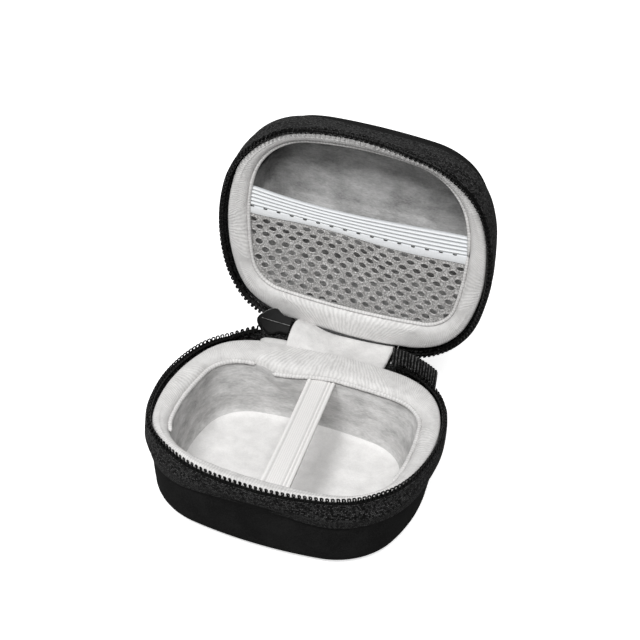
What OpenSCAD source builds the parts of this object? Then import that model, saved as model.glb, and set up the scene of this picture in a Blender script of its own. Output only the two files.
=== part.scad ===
// A small moulded zip case for earbuds: two foam half shells joined by a
// cloth hinge and closed by a coil zip that runs round the rim.
// The base stands on z = 0, the hinge is at the back (+Y) and the lid is
// drawn open. Millimetres.

/* [Outline] */
// Half of the width between the two coils' inner faces, across the case
rim_a = 39.5; // [34:0.5:46]
// Half of the depth between the coils' inner faces, front to back
rim_b = 34.2; // [30:0.5:40]
// Radius of the rim's four corners
rim_corner_r = 22.5; // [18:0.5:26]
// Radius of the bowed front and back sides of the rim
rim_front_r = 120; // [90:5:200]
// Radius of the bowed left and right sides of the rim
rim_side_r = 55; // [45:1:90]

/* [Shells] */
// Height of the base, from the table to the plane where the zip closes
base_h = 24.7; // [20:0.1:34]
// Height of the lid, from the plane where the zip closes to its top
lid_h = 19.7; // [16:0.1:28]
// Thickness of the outer cover
cover_t = 0.9; // [0.6:0.1:1.4]
// Thickness of the moulded foam across the floor
foam_floor_t = 2.8; // [1.8:0.1:4.5]
// Radius of the outer edge round the floor of each shell
floor_r = 5.4; // [3.5:0.1:7]
// How far the shell draws in from the coil line at the floor
floor_draw = 1; // [0.4:0.1:2]
// Offset of the base's skin at the foot of the tape, from the coil line
base_waist = 0; // [-0.5:0.1:1.4]
// Offset of the lid's skin at the foot of the tape, from the coil line
lid_waist = 1; // [-0.5:0.1:1.4]

/* [Cavity] */
// Thickness of the velvet lining
lining_t = 1; // [0.6:0.1:1.4]
// Half of the width of the cavity
cavity_a = 33; // [29:0.5:34]
// Half of the depth of the base's cavity
cavity_b = 25.2; // [20:0.1:26]
// Half of the depth of the lid's cavity
lid_cavity_b = 26.9; // [22:0.1:27]
// Radius of the cavity's corners
cavity_corner_r = 16.5; // [14:0.5:19]
// How far the base's cavity sits forward of the case's centre, away from the hinge
cavity_forward = 3; // [1:0.1:3.4]
// How far the lid's cavity sits forward of the case's centre
lid_cavity_forward = 4.1; // [2:0.1:4.2]
// Radius between the cavity's walls and its floor
cavity_floor_r = 3.6; // [2:0.1:5]
// How far the cavity narrows from its mouth to its floor
cavity_taper = 1; // [0.2:0.1:2]
// Width of the rounded edge between the base's lip and the cavity's wall
lip_round = 3.4; // [2:0.1:4]
// The same width in the lid, whose front lip is narrow
lid_lip_round = 1; // [0.6:0.1:1]
// How far the lip stands below the plane where the zip closes
lip_drop = 1.5; // [1.3:0.1:2]

/* [Zip] */
// Pitch of the zip's teeth
tooth_pitch = 1.45; // [1.2:0.05:2]
// Thickness of the coil, from its inner face to the tape
coil_t = 1.6; // [1.3:0.1:1.6]
// Height of the coil from its foot to the closing plane
coil_h = 3.2; // [2.6:0.1:3.2]
// How far a tooth passes the closing plane to mesh with the other side
tooth_mesh = 0.6; // [0.4:0.05:0.6]
// Thickness of the zip's tape
tape_t = 0.6; // [0.4:0.05:0.65]
// Height of the band of tape that shows round each shell
tape_h = 9.3; // [8:0.1:11]
// Height of the tape above the shell, left free for the slider
tape_free = 5; // [4.9:0.1:5.6]

/* [Slider] */
// Length of the slider's body along the zip
slider_l = 10.7; // [9:0.1:11]
// Width of the slider's body across its shoulders
slider_w = 8.2; // [7.6:0.1:8.6]
// Thickness of the slider's inner and outer plates
slider_plate_t = 0.75; // [0.6:0.05:0.85]
// Place of the parked slider round its corner, where 90 is straight back
slider_park = 104.9; // [104:0.1:107]
// Length of the pull from its bar to its tip
pull_l = 20; // [12:0.5:21]
// Width of the pull
pull_w = 4.4; // [3.6:0.1:4.4]

/* [Hinge] */
// Opening of the lid as drawn, from closed
open_angle = 87; // [60:1:120]
// How far the hinge line lies below the plane where the zip closes
hinge_drop = 4.75; // [4.5:0.05:5]
// Half of the width of the cloth hinge
hinge_half_w = 15.5; // [14:0.5:17]
// Thickness of the hinge's outer webbing
band_t = 1; // [0.6:0.1:1.2]
// Thickness of the hinge's velvet strip
strip_t = 1.2; // [0.8:0.1:1.6]
// Length of the webbing tab over the zip's closed end
tab_l = 13; // [9:0.5:15]

/* [Straps] */
// Width of the elastic strap across the base
strap_w = 8.3; // [6:0.1:12]
// Thickness of the elastic straps
strap_t = 1.1; // [0.8:0.1:1.4]
// How far the strap's front end stands right of its back end
strap_skew = 4; // [0:0.5:6]
// Width of the elastic along the pocket's mouth
elastic_w = 8.6; // [7:0.1:11]
// How far the middle of the elastic is drawn towards the hinge
elastic_sag = 2.1; // [0:0.1:3]
// Distance of the pocket's mouth in front of the lid's centre
pocket_mouth = 10.1; // [6:0.1:14]
// Thickness of the pocket's net
net_t = 0.5; // [0.3:0.05:0.7]
// Distance between holes along a row of the net
net_pitch = 4.2; // [3.8:0.1:6]
// Width of a hole in the net
net_hole_w = 2.1; // [1.4:0.1:2.3]

/* [Hidden] */

// Colours, as the photographed case shows them
cover_col = [0.11, 0.11, 0.11];
foam_col = [0.2, 0.2, 0.2];
velvet_col = [0.86, 0.85, 0.84];
tape_col = [0.2, 0.2, 0.2];
coil_col = [0.06, 0.06, 0.06];
elastic_col = [0.93, 0.94, 0.96];
net_col = [0.68, 0.65, 0.63];
metal_col = [0.25, 0.25, 0.26];

// Clearances
sliding_gap = 0.3;
tape_slot = 0.6;
seat_gap = 0.1;

// Points along one quarter of an outline: side, corner and front stretches
side_steps = 2;
corner_steps = 6;
front_steps = 2;
fillet_steps = 3;

// An outline is [half width, half depth, corner radius, front radius, side radius, y].
// Its quarter is three arcs that meet without a kink, so any offset of it
// keeps the arcs' centres.
rim = [rim_a, rim_b, rim_corner_r, rim_front_r, rim_side_r, 0];
cavity = [cavity_a, cavity_b, cavity_corner_r, rim_front_r, rim_side_r, -cavity_forward];
lid_cavity = [cavity_a, lid_cavity_b, cavity_corner_r, rim_front_r, rim_side_r,
              -lid_cavity_forward];

function front_centre(o) = [0, o[1] - o[3]];
function side_centre(o) = [o[0] - o[4], 0];
function corner_centre(o) =
    let (from = front_centre(o), to = side_centre(o), far = norm(to - from),
         ra = o[3] - o[2], rb = o[4] - o[2],
         along = (ra * ra - rb * rb + far * far) / (2 * far),
         across = sqrt(ra * ra - along * along), e = (to - from) / far)
    from + along * e + across * [e[1], -e[0]];
function angle_of(v) = atan2(v[1], v[0]);
function side_angle(o) = angle_of(corner_centre(o) - side_centre(o));
function front_angle(o) = angle_of(corner_centre(o) - front_centre(o));
function arc_pt(centre, r, t) = centre + r * [cos(t), sin(t)];

function quarter(o, d) =
    let (s = side_angle(o), f = front_angle(o), c = corner_centre(o))
    concat(
        [for (i = [0 : side_steps - 1])
            arc_pt(side_centre(o), o[4] + d, s * i / side_steps)],
        [for (i = [0 : corner_steps - 1])
            arc_pt(c, o[2] + d, s + (f - s) * i / corner_steps)],
        [for (i = [0 : front_steps])
            arc_pt(front_centre(o), o[3] + d, f + (90 - f) * i / front_steps)]);
quarter_n = side_steps + corner_steps + front_steps;

// A closed ring of points at height z, d outside an outline
function ring(o, d, z) =
    let (q = quarter(o, d))
    concat(
        [for (i = [0 : quarter_n - 1]) [q[i][0], q[i][1] + o[5], z]],
        [for (i = [quarter_n : -1 : 1]) [-q[i][0], q[i][1] + o[5], z]],
        [for (i = [0 : quarter_n - 1]) [-q[i][0], -q[i][1] + o[5], z]],
        [for (i = [quarter_n : -1 : 1]) [q[i][0], -q[i][1] + o[5], z]]);

// A solid through rings of equal length. wrap joins the last ring to the
// first, and otherwise both ends are capped.
module loft(rings, wrap = false) {
    n = len(rings[0]);
    m = len(rings);
    last = wrap ? m - 1 : m - 2;
    walls = [for (i = [0 : last], j = [0 : n - 1], half = [0, 1])
        let (a = i * n + j, b = i * n + (j + 1) % n,
             c = ((i + 1) % m) * n + (j + 1) % n, d = ((i + 1) % m) * n + j)
        half == 0 ? [a, d, c] : [a, c, b]];
    caps = wrap ? [] : [[for (j = [0 : n - 1]) j],
                        [for (j = [n - 1 : -1 : 0]) (m - 1) * n + j]];
    polyhedron([for (r = rings) each r], concat(walls, caps), convexity = 6);
}

// Shell profile, as [d, z below the closing plane] with z counted up from
// the floor of a shell of height h. Heights:
wall_top = tape_free;
wall_mid = tape_h;
lip_t = lining_t + 0.1;
// Offsets from the coil line
tape_in_d = coil_t + 0.1;
cover_top_d = tape_in_d - seat_gap;
groove_d = -1.4;
cover_low_d = -floor_draw;
// Depth of the rounded edge from the lip down to the wall of the cavity
edge_depth = lip_drop + lip_round;

// Rings of a shell's skin, inset by t from the outer face
function skin_rings(h, waist, t) = concat(
    [for (i = [0 : fillet_steps]) let (a = 90 * i / fillet_steps)
        ring(rim, cover_low_d - floor_r + (floor_r - t) * sin(a),
             floor_r - (floor_r - t) * cos(a))],
    [ring(rim, waist - t, h - wall_mid), ring(rim, cover_top_d - t, h - wall_top)]);

function reversed(list) = [for (i = [len(list) - 1 : -1 : 0]) list[i]];

// Rings of a cavity's wall from its mouth to its floor, t behind the velvet
function cavity_rings(h, o, t) =
    let (floor_z = cover_t + foam_floor_t + lining_t - t, r = cavity_floor_r + t)
    concat(
        [ring(o, t, h - edge_depth)],
        [for (i = [fillet_steps : -1 : 0]) let (a = 90 * i / fillet_steps)
            ring(o, -cavity_taper + t - r + r * sin(a), floor_z + r - r * cos(a))]);

module shell_cover(h, waist)
    loft(concat(skin_rings(h, waist, 0), reversed(skin_rings(h, waist, cover_t))));

module shell_foam(h, waist, o, edge_w)
    loft(concat(
        skin_rings(h, waist, cover_t),
        [ring(rim, groove_d, h - wall_top), ring(rim, groove_d, h - lip_drop - lip_t),
         ring(o, edge_w, h - lip_drop - lip_t)],
        cavity_rings(h, o, lining_t)));

module shell_lining(h, o)
    loft(concat(reversed(cavity_rings(h, o, lining_t)), cavity_rings(h, o, 0)));

// The lip is a padded ring: a crowned top and a rounded inner edge
function lip_edge(h, o, edge_w, i, n) =
    let (a = 90 * i / n)
    ring(o, edge_w * (1 - sin(a)), h - lip_drop - lip_round * (1 - cos(a)));
lip_edge_steps = 3;
module shell_lip(h, o, edge_w)
    loft(concat(
        [ring(rim, groove_d, h - lip_drop - lip_t), ring(rim, groove_d, h - lip_drop - 0.4),
         ring(rim, groove_d - 0.7, h - lip_drop)],
        [for (i = [0 : lip_edge_steps]) lip_edge(h, o, edge_w, i, lip_edge_steps)],
        [ring(o, min(edge_w, lining_t), h - edge_depth),
         ring(o, edge_w, h - lip_drop - lip_t)]), wrap = true);

// The zip's path round the rim, from the middle of the back, over the left
// side, the front and the right side, as arcs [centre, radius, from, to]
path =
    let (c = corner_centre(rim), f = front_angle(rim), s = side_angle(rim),
         fc = front_centre(rim), sc = side_centre(rim))
    [[fc, rim_front_r, 90, 180 - f],
     [[-c[0], c[1]], rim_corner_r, 180 - f, 180 - s],
     [-sc, rim_side_r, 180 - s, 180 + s],
     [-c, rim_corner_r, 180 + s, 180 + f],
     [-fc, rim_front_r, 180 + f, 360 - f],
     [[c[0], -c[1]], rim_corner_r, 360 - f, 360 - s],
     [sc, rim_side_r, 360 - s, 360 + s],
     [c, rim_corner_r, 360 + s, 360 + f],
     [fc, rim_front_r, 360 + f, 450]];
function arc_len(p) = p[1] * (p[3] - p[2]) * PI / 180;
path_at = [for (i = 0, s = 0; i <= len(path); s = s + (i < len(path) ? arc_len(path[i]) : 0),
           i = i + 1) s];
function arc_index(s) =
    min(len(path) - 1, max(0, len([for (x = path_at) if (x <= s) x]) - 1));
function angle_at(s) = let (i = arc_index(s))
    path[i][2] + (s - path_at[i]) / path[i][1] * 180 / PI;
function path_pt(s, d, z) = let (i = arc_index(s), p = path[i])
    concat(arc_pt(p[0], p[1] + d, angle_at(s)), [z]);
function length_to(t, i) = path_at[i] + path[i][1] * (t - path[i][2]) * PI / 180;

// Where the slider parks and where the coils begin and end
slider_c = path[1][0];
slider_half_angle = slider_l / 2 / (rim_corner_r + 1) * 180 / PI;
bay_end = slider_park + slider_half_angle + 1.2;
bay_start = slider_park - slider_half_angle - 0.8;
zip_from = length_to(bay_end, 1);
zip_to = path_at[len(path)] - hinge_half_w - 0.35;
band_left_x = -11.2;

// A strip along the path. section gives its corners as [d, z] from the
// outer foot inwards, up and back, and shift moves every other station.
module path_strip(from, to, n, section)
    loft([for (i = [0 : n])
        let (s = from + (to - from) * i / n)
        [for (p = section) path_pt(s, p[0], p[1])]]);

tape_top = 1.2;
module tape(h, waist) {
    low_d = waist + seat_gap;
    section = [[low_d + tape_t, h - tape_h], [low_d, h - tape_h],
               [tape_in_d, h - tape_free], [tape_in_d, h - tape_top],
               [tape_in_d + tape_t, h - tape_top], [tape_in_d + tape_t, h - tape_free]];
    path_strip(zip_from, zip_to, tape_stations, section);
    // Below the slider's bay the band runs on to the hinge
    low = [section[0], section[1], [tape_in_d, h - tape_free - 0.05],
           [tape_in_d + tape_t, h - tape_free - 0.05]];
    path_strip(0.35 - band_left_x, zip_from - seat_gap, 6, low);
}
tape_stations = 50;

// A coil is one strip whose top edge rises and falls once a tooth. phase
// shifts its teeth by half a pitch, so that they fall between the other's.
module coil(h, phase) {
    count = floor((zip_to - zip_from) / tooth_pitch) - 1;
    loft([for (i = [0 : 2 * count])
        let (s = zip_from + tooth_pitch * (0.25 + (i + phase) / 2), crest = i % 2,
             top = h + (crest == 1 ? tooth_mesh - seat_gap : -tooth_mesh - 0.2),
             inset = crest == 1 ? 0.3 : 0.05)
        [for (p = [[coil_t - 0.05, h - coil_h], [0.05, h - coil_h],
                   [inset, top], [coil_t - inset, top]]) path_pt(s, p[0], p[1])]]);
}

// Hinge line, and the lid's place: drawn closed above the base and opened
hinge_y = rim_b + tape_in_d + tape_t + 0.25;
hinge_z = base_h - hinge_drop;
module opened(share = 1)
    translate([0, hinge_y, hinge_z]) rotate([-open_angle * share, 0, 0])
        translate([0, -hinge_y, -hinge_z]) children();
module in_lid() opened() translate([0, 0, base_h + lid_h]) mirror([0, 0, 1]) children();

// The bay in the lid that the parked slider turns through
bay_r = norm([rim_b + groove_d - 2 - hinge_y, hinge_drop + slider_w / 2]);
bay_left = path_pt(zip_from, 0, 0)[0] - 0.3;
bay_right = band_left_x - 3.4;
module slider_bay()
    opened() translate([bay_left, hinge_y, hinge_z]) rotate([0, 90, 0])
        cylinder(r = bay_r, h = bay_right - bay_left, $fn = 48);

// Base
module base_cover() color(cover_col) shell_cover(base_h, base_waist);
module base_foam() color(foam_col) shell_foam(base_h, base_waist, cavity, lip_round);
module base_lining() color(velvet_col) shell_lining(base_h, cavity);
module base_lip() color(velvet_col) shell_lip(base_h, cavity, lip_round);
module base_tape() color(tape_col) tape(base_h, base_waist);
module base_coil() color(coil_col) coil(base_h, 0);

// The strap is a flat elastic across the cavity with a raised cord at each edge
cord_w = 1.1;
cord_rise = 0.25;
strap_z = base_h - edge_depth - 0.3;
strap_back_x = -0.4;
module strap_run(x0, x1, t) {
    back = cavity_b - cavity_forward;
    front = -cavity_b - cavity_forward;
    back_x = strap_back_x;
    front_x = strap_back_x + strap_skew;
    translate([0, 0, strap_z]) linear_extrude(t) intersection() {
        polygon([[back_x + x0, back], [front_x + x0, front],
                 [front_x + x1, front], [back_x + x1, back]]);
        polygon([for (p = ring(cavity, -seat_gap, 0)) [p[0], p[1]]]);
    }
}
module strap() color(elastic_col) union() {
    strap_run(-strap_w / 2, strap_w / 2, strap_t);
    strap_run(-strap_w / 2, -strap_w / 2 + cord_w, strap_t + cord_rise);
    strap_run(strap_w / 2 - cord_w, strap_w / 2, strap_t + cord_rise);
}

// Ribbed webbing folded over the closed end of the zip, round the corner
tab_ribs = 9;
tab_drop = 6;
tab_rise = 4;
module zip_end_tab() color(tape_col) {
    out = tape_in_d + tape_t + sliding_gap;
    from = path_at[8] - tab_l;
    step = (tab_l + 2.5) / tab_ribs / 2;
    loft([for (i = [0 : 2 * tab_ribs])
        let (s = from + i * step, rib = i % 2 == 0 ? 0 : 0.25)
        [for (p = [[out + 0.9 + rib, base_h - tab_drop], [out, base_h - tab_drop],
                   [out, base_h + tab_rise], [out + 0.9 + rib, base_h + tab_rise]])
            path_pt(s, p[0], p[1])]]);
}

// Lid
module lid_cover() color(cover_col) difference() { in_lid() shell_cover(lid_h, lid_waist); slider_bay(); }
module lid_foam() color(foam_col) difference() {
    in_lid() shell_foam(lid_h, lid_waist, lid_cavity, lid_lip_round);
    slider_bay();
}
module lid_lining() color(velvet_col) in_lid() shell_lining(lid_h, lid_cavity);
module lid_lip() color(velvet_col) difference() {
    in_lid() shell_lip(lid_h, lid_cavity, lid_lip_round);
    slider_bay();
}
module lid_tape() color(tape_col) difference() { in_lid() tape(lid_h, lid_waist); slider_bay(); }
module lid_coil() color(coil_col) in_lid() coil(lid_h, 1);

// The pocket: a net over the hinge side of the lid's cavity and the ribbed
// elastic that its mouth is sewn to
net_z = lid_h - edge_depth + 0.5;
function bow(x) = -pocket_mouth + elastic_sag * (1 - pow(x / cavity_a, 2));
bow_steps = 10;
module bowed(y0, y1, half_w)
    polygon(concat(
        [for (i = [0 : bow_steps]) let (x = half_w * (2 * i / bow_steps - 1)) [x, bow(x) + y0]],
        [for (i = [bow_steps : -1 : 0]) let (x = half_w * (2 * i / bow_steps - 1))
            [x, bow(x) + y1]]));

hem_w = 2.4;
net_rows = 9;
module pocket_net() color(net_col) in_lid() translate([0, 0, net_z]) linear_extrude(net_t)
    difference() {
        intersection() {
            polygon([for (p = ring(lid_cavity, -seat_gap, 0)) [p[0], p[1]]]);
            bowed(elastic_w - hem_w, lid_cavity_b * 3, cavity_a);
        }
        row_gap = net_pitch / sqrt(3);
        for (row = [0 : net_rows - 1], k = [-8 : 8]) {
            x = (k + (row % 2) / 2) * net_pitch;
            y = bow(x) + elastic_w + 1.9 + row * row_gap;
            inside = norm([max(0, abs(x) - cavity_a + cavity_corner_r),
                           max(0, y - lid_cavity_b + lid_cavity_forward + cavity_corner_r)]);
            if (inside < cavity_corner_r - 1.6 && abs(x) < cavity_a - 1.8)
                translate([x, y]) rotate(elastic_sag * -x / cavity_a)
                    polygon([[-0.5, 0] * net_hole_w, [-0.24, 0.34] * net_hole_w,
                             [0.24, 0.34] * net_hole_w, [0.5, 0] * net_hole_w,
                             [0.24, -0.34] * net_hole_w, [-0.24, -0.34] * net_hole_w]);
        }
    }

rib_w = 0.75;
rib_rise = 0.3;
rib_count = 5;
module pocket_elastic() color(elastic_col) in_lid()
    translate([0, 0, net_z + net_t + seat_gap]) {
        half_w = cavity_a - 0.35;
        rib_pitch = (elastic_w - hem_w) / rib_count;
        union() {
            linear_extrude(strap_t - rib_rise) bowed(0, elastic_w, half_w);
            for (i = [0 : rib_count - 1])
                linear_extrude(strap_t)
                    bowed(i * rib_pitch + 0.1, i * rib_pitch + 0.1 + rib_w, half_w);
        }
    }

// The cloth hinge in its open shape: webbing outside, velvet inside. Each is
// drawn as a bent strip in section and extruded along the hinge.
bend_steps = 6;
module hinge_section(points, t, x0, x1)
    // points run from the base's end to the lid's, on the strip's inner side
    translate([x0, 0, 0]) rotate([90, 0, 90]) linear_extrude(x1 - x0)
        polygon(concat(points, [for (i = [len(points) - 1 : -1 : 0])
            let (a = points[max(0, i - 1)], b = points[min(len(points) - 1, i + 1)],
                 e = (b - a) / norm(b - a))
            points[i] + t * [e[1], -e[0]]]));

// Where a point [y, z] of the closed lid stands when it is open
function turned(p) = let (y = p[0] - hinge_y, z = p[1] - hinge_z)
    [hinge_y + y * cos(open_angle) + z * sin(open_angle),
     hinge_z - y * sin(open_angle) + z * cos(open_angle)];

module hinge_band() color(tape_col) {
    low_y = rim_b + base_waist + seat_gap;
    lid_low_y = rim_b + lid_waist + seat_gap;
    top_y = rim_b + cover_top_d + seat_gap;
    top_z = base_h - tape_free;
    bend_r = 1.1;
    lid_top = turned([top_y, base_h + tape_free]);
    hinge_section(concat(
        [[low_y, base_h - tape_h]],
        [for (i = [0 : bend_steps]) let (a = 84 * i / bend_steps)
            [top_y + bend_r * (1 - cos(a)), top_z - 0.5 + bend_r * sin(a)]],
        [lid_top, turned([lid_low_y, base_h + tape_h])]),
        band_t, band_left_x, hinge_half_w);
}

module hinge_strip() color(velvet_col) {
    edge_y = rim_b + groove_d + seat_gap;
    from = [edge_y, base_h - lip_drop];
    to = turned([edge_y, base_h + lip_drop]);
    steps = 6;
    dip = 0.5;
    hinge_section([for (i = [0 : steps]) let (u = i / steps)
        from + u * (to - from) - [0, dip * sin(180 * u)]],
        strip_t, band_left_x, hinge_half_w);
}

// The zip's closed tail: joined coils on their two tapes, from the hinge
// into the parked slider
tail_coil_h = 1.7;
tail_root_h = 1.4;
module zip_tail() color(coil_col) opened(0.5) {
    from = 0.2 - band_left_x;
    n = 2 * floor((length_to(slider_park, 1) - from) / tooth_pitch);
    loft([for (i = [0 : n])
        let (s = from + i * tooth_pitch / 2, w = i % 2 == 0 ? tail_coil_h : tail_root_h)
        [for (p = [[tape_in_d + tape_t, base_h - w], [0, base_h - w],
                   [0, base_h + w], [tape_in_d + tape_t, base_h + w]]) path_pt(s, p[0], p[1])]]);
}

// The slider is drawn on the closed zip, turned by half of the lid's opening.
// in_slider's x runs outwards from the corner's centre, y along the zip
// towards the nose, and z across it.
module in_slider()
    opened(0.5) translate([slider_c[0], slider_c[1], base_h])
        rotate([0, 0, slider_park]) children();
inner_plate_d = -sliding_gap - slider_plate_t;
outer_plate_d = tape_in_d + tape_t + tape_slot;
outer_face = rim_corner_r + outer_plate_d + slider_plate_t;

// Outline of the plates: a round nose, wide shoulders, a waist and the tail
module plate_outline() {
    nose_r = 2.6;
    l = slider_l / 2;
    half = [[0.11 * slider_l, 0.465 * slider_w], [0.06 * slider_l, 0.5 * slider_w],
            [0, 0.49 * slider_w], [-0.11 * slider_l, 0.4 * slider_w],
            [-0.22 * slider_l, 0.33 * slider_w], [-l + 0.3, 0.335 * slider_w],
            [-l, 0.3 * slider_w]];
    nose = [for (a = [-60 : 15 : 60]) [l - nose_r + nose_r * cos(a), nose_r * sin(a)]];
    polygon(concat(nose, half, [for (p = reversed(half)) [p[0], -p[1]]]));
}
module plate_sector(d, t, z0, z1)
    rotate([0, 0, -30]) rotate_extrude(angle = 60, $fn = 180)
        translate([rim_corner_r + d, z0]) square([t, z1 - z0]);
prism_in = 5;
prism_out = 9;
wedge_start = 1.8;
wedge_l = 2.6;
wedge_w = 1.8;
module radial_prism()
    translate([rim_corner_r - prism_in, 0, 0]) rotate([90, 0, 90])
        linear_extrude(prism_in + prism_out) children();

module slider_body() color(metal_col) in_slider() {
    flange_in = slider_w / 2 - 0.9;
    union() {
        intersection() {
            union() {
                plate_sector(inner_plate_d, slider_plate_t, -slider_w / 2, slider_w / 2);
                plate_sector(outer_plate_d, slider_plate_t, -slider_w / 2, slider_w / 2);
                for (side = [-1, 1])
                    plate_sector(inner_plate_d, coil_t / 2 - inner_plate_d,
                                 side > 0 ? flange_in : -slider_w / 2,
                                 side > 0 ? slider_w / 2 : -flange_in);
            }
            radial_prism() plate_outline();
        }
        // The wedge that parts the two coils
        intersection() {
            plate_sector(inner_plate_d, outer_plate_d - inner_plate_d + 0.2, -wedge_w / 2, wedge_w / 2);
            translate([rim_corner_r - prism_in, wedge_start, -wedge_w])
                cube([prism_in + prism_out, wedge_l, 2 * wedge_w]);
        }
    }
}

// The bridge is a low arch along the slider that holds the pull's bar
bridge_l = 6.6;
bridge_rise = 2.7;
bridge_wall = 0.9;
bridge_w = 2.2;
bar_r = 0.6;
bar_x = outer_face + 0.9;
module slider_bridge() color(metal_col) in_slider()
    translate([0, 0, -bridge_w / 2]) linear_extrude(bridge_w)
        difference() {
            polygon(arch(bridge_l / 2, outer_face - 0.05, bridge_rise));
            polygon(arch(bridge_l / 2 - bridge_wall, outer_face - 1, bridge_rise - bridge_wall + 0.95));
            circle(r = outer_face + 0.005, $fn = 180);
        }
arch_power = 0.35;
function arch(half_l, x0, rise) = concat(
    [[x0, -half_l]],
    [for (i = [0 : 10]) let (a = 180 * i / 10)
        [x0 + rise * pow(sin(a), arch_power), -half_l * cos(a)]],
    [[x0, half_l]]);

// The pull: a bar under the bridge, two arms round it and a slim tab.
pull_t = 1.1;
// It hangs straight down, whatever way the slider faces
pull_hang = 90 - slider_park;
module pull_tab() color(metal_col) in_slider() translate([bar_x, 0, 0]) rotate([0, 0, pull_hang]) {
    arm_in = bridge_w / 2 + sliding_gap;
    arm_l = bridge_l / 2 + bridge_wall + 0.4;
    union() {
        translate([0, 0, -pull_w / 2]) cylinder(r = bar_r, h = pull_w, $fn = 32);
        for (side = [-1, 1])
            translate([0, -pull_t / 2, side > 0 ? arm_in : -pull_w / 2])
                cube([arm_l + 0.5, pull_t, pull_w / 2 - arm_in]);
        difference() {
            translate([arm_l, pull_t / 2, 0]) rotate([90, 0, 0]) linear_extrude(pull_t)
                pull_outline(pull_l - arm_l);
            // A shallow thumb recess on each face
            for (side = [-1, 1])
                translate([arm_l + 2.2, side * pull_t / 2, 0]) rotate([90, 0, 0])
                    translate([0, 0, -0.2]) linear_extrude(0.4)
                        polygon([[0, -pull_w / 2 + 0.9], [pull_l - arm_l - 4.2, -pull_w / 2 + 0.9],
                                 [pull_l - arm_l - 4.2, pull_w / 2 - 0.9], [0, pull_w / 2 - 0.9]]);
        }
    }
}
module pull_outline(l)
    polygon(concat([[0, -pull_w / 2]],
        [for (a = [-90 : 15 : 90]) [l - pull_w / 2 + pull_w / 2 * cos(a), pull_w / 2 * sin(a)]],
        [[0, pull_w / 2]]));

base_cover();
base_foam();
base_lining();
base_lip();
base_tape();
base_coil();
strap();
zip_end_tab();
lid_cover();
lid_foam();
lid_lining();
lid_lip();
lid_tape();
lid_coil();
pocket_net();
pocket_elastic();
hinge_band();
hinge_strip();
zip_tail();
slider_body();
slider_bridge();
pull_tab();
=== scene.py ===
# %% [markdown]
# # Earbud case cover
# A small moulded zip case stands open: two foam shells under a black knit, a coil zip round
# their rims, pale velvet inside, an elastic strap in the base and a net pocket in the lid.
# The imported CAD solids are the frame. They know the joints and the true sizes, but a solid
# can't show pile, gathers or a wound thread, so each step puts a mesh in a solid's place, and
# most steps name the body that it rides. Edit Mode would do as well; code is used because
# every curve comes from a measured number. Sizes are in millimetres until a mesh is made.

# %% Load the frame
import math

import bmesh
import bpy
import numpy as np
from mathutils import Matrix, Vector
from mathutils.geometry import delaunay_2d_cdt


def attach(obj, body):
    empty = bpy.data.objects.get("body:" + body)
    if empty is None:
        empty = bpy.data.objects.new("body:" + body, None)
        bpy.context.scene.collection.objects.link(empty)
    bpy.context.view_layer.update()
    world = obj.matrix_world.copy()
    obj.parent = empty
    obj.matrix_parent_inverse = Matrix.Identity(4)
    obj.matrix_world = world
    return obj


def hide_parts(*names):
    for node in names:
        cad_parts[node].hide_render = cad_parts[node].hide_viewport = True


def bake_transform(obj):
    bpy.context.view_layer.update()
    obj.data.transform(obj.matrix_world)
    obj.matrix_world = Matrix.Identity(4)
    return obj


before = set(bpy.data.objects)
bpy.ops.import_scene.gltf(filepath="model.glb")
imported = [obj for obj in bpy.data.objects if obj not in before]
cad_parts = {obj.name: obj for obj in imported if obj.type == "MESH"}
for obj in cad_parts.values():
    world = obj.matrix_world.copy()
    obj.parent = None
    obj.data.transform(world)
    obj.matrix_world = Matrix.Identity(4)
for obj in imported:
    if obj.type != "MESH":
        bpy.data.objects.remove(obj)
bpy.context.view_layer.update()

# %% [markdown]
# ## The case's measures
# Seen from above, a half is a rounded oblong of arcs, as a mould maker draws it: long arcs
# at the front, back and sides, and tighter ones at the corners. A Curve object could be
# fitted by eye, but arcs give the exact normal at every point, which the lips, the tape and
# the coil need. The numbers repeat part.scad. A point of a half shell is (x, y, w), where w
# is its depth below the plane in which the zip closes.

# %% Measures
MM = 0.001
BASE_H, LID_H = 24.7, 19.7
HEIGHT = {"base": BASE_H, "lid": LID_H}
# An outline: half width, half depth, radii of corner, front and side, and its shift in y
RIM = (39.5, 34.2, 22.5, 120.0, 55.0, 0.0)
CAVITY = {"base": (33.0, 25.2, 16.5, 120.0, 55.0, -3.0), "lid": (33.0, 26.9, 16.5, 120.0, 55.0, -4.1)}
# The openings as the velvet leaves them, for the hinge side and for the front
MOUTH = {"base": ((33.6, 25.5, 12.3, 190.0, 97.0, -3.0), (33.6, 25.2, 16.5, 120.0, 55.0, -3.0)),
         "lid": ((33.6, 28.4, 10.5, 230.0, 105.0, -4.1), (33.6, 26.9, 20.0, 105.0, 42.0, -4.1))}
# How far the lid stands open, in degrees, and the line that it turns about
OPEN = 87.0
HINGE_Y, HINGE_Z = 36.75, BASE_H - 4.75
# From one tooth of the zip to the next
PITCH = 1.45
# Depths at which the tape leaves the shell and at which its lower edge lies
TAPE_FREE, TAPE_H = 5.0, 9.3
COVER_T, FOAM_T, LINING_T = 0.9, 2.8, 1.0
# Depth of the lip's top, and of its rounding below that
LIP_DROP, LIP_ROUND = 1.5, 3.4
# The shell's offset at the tape's lower edge
WAIST = {"base": 0.0, "lid": 1.0}
# The hinge webbing reaches from BAND_LEFT to HINGE_HALF in x
HINGE_HALF, BAND_LEFT = 15.5, -11.2
# The slider's parked place, as the rim's normal angle
SLIDER_T = 104.9
# How far the strap draws in the base's opening
STRAP_PULL = 2.0
print("closed height:", round(BASE_H + LID_H, 1), "mm")

# %% An outline of arcs


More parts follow.
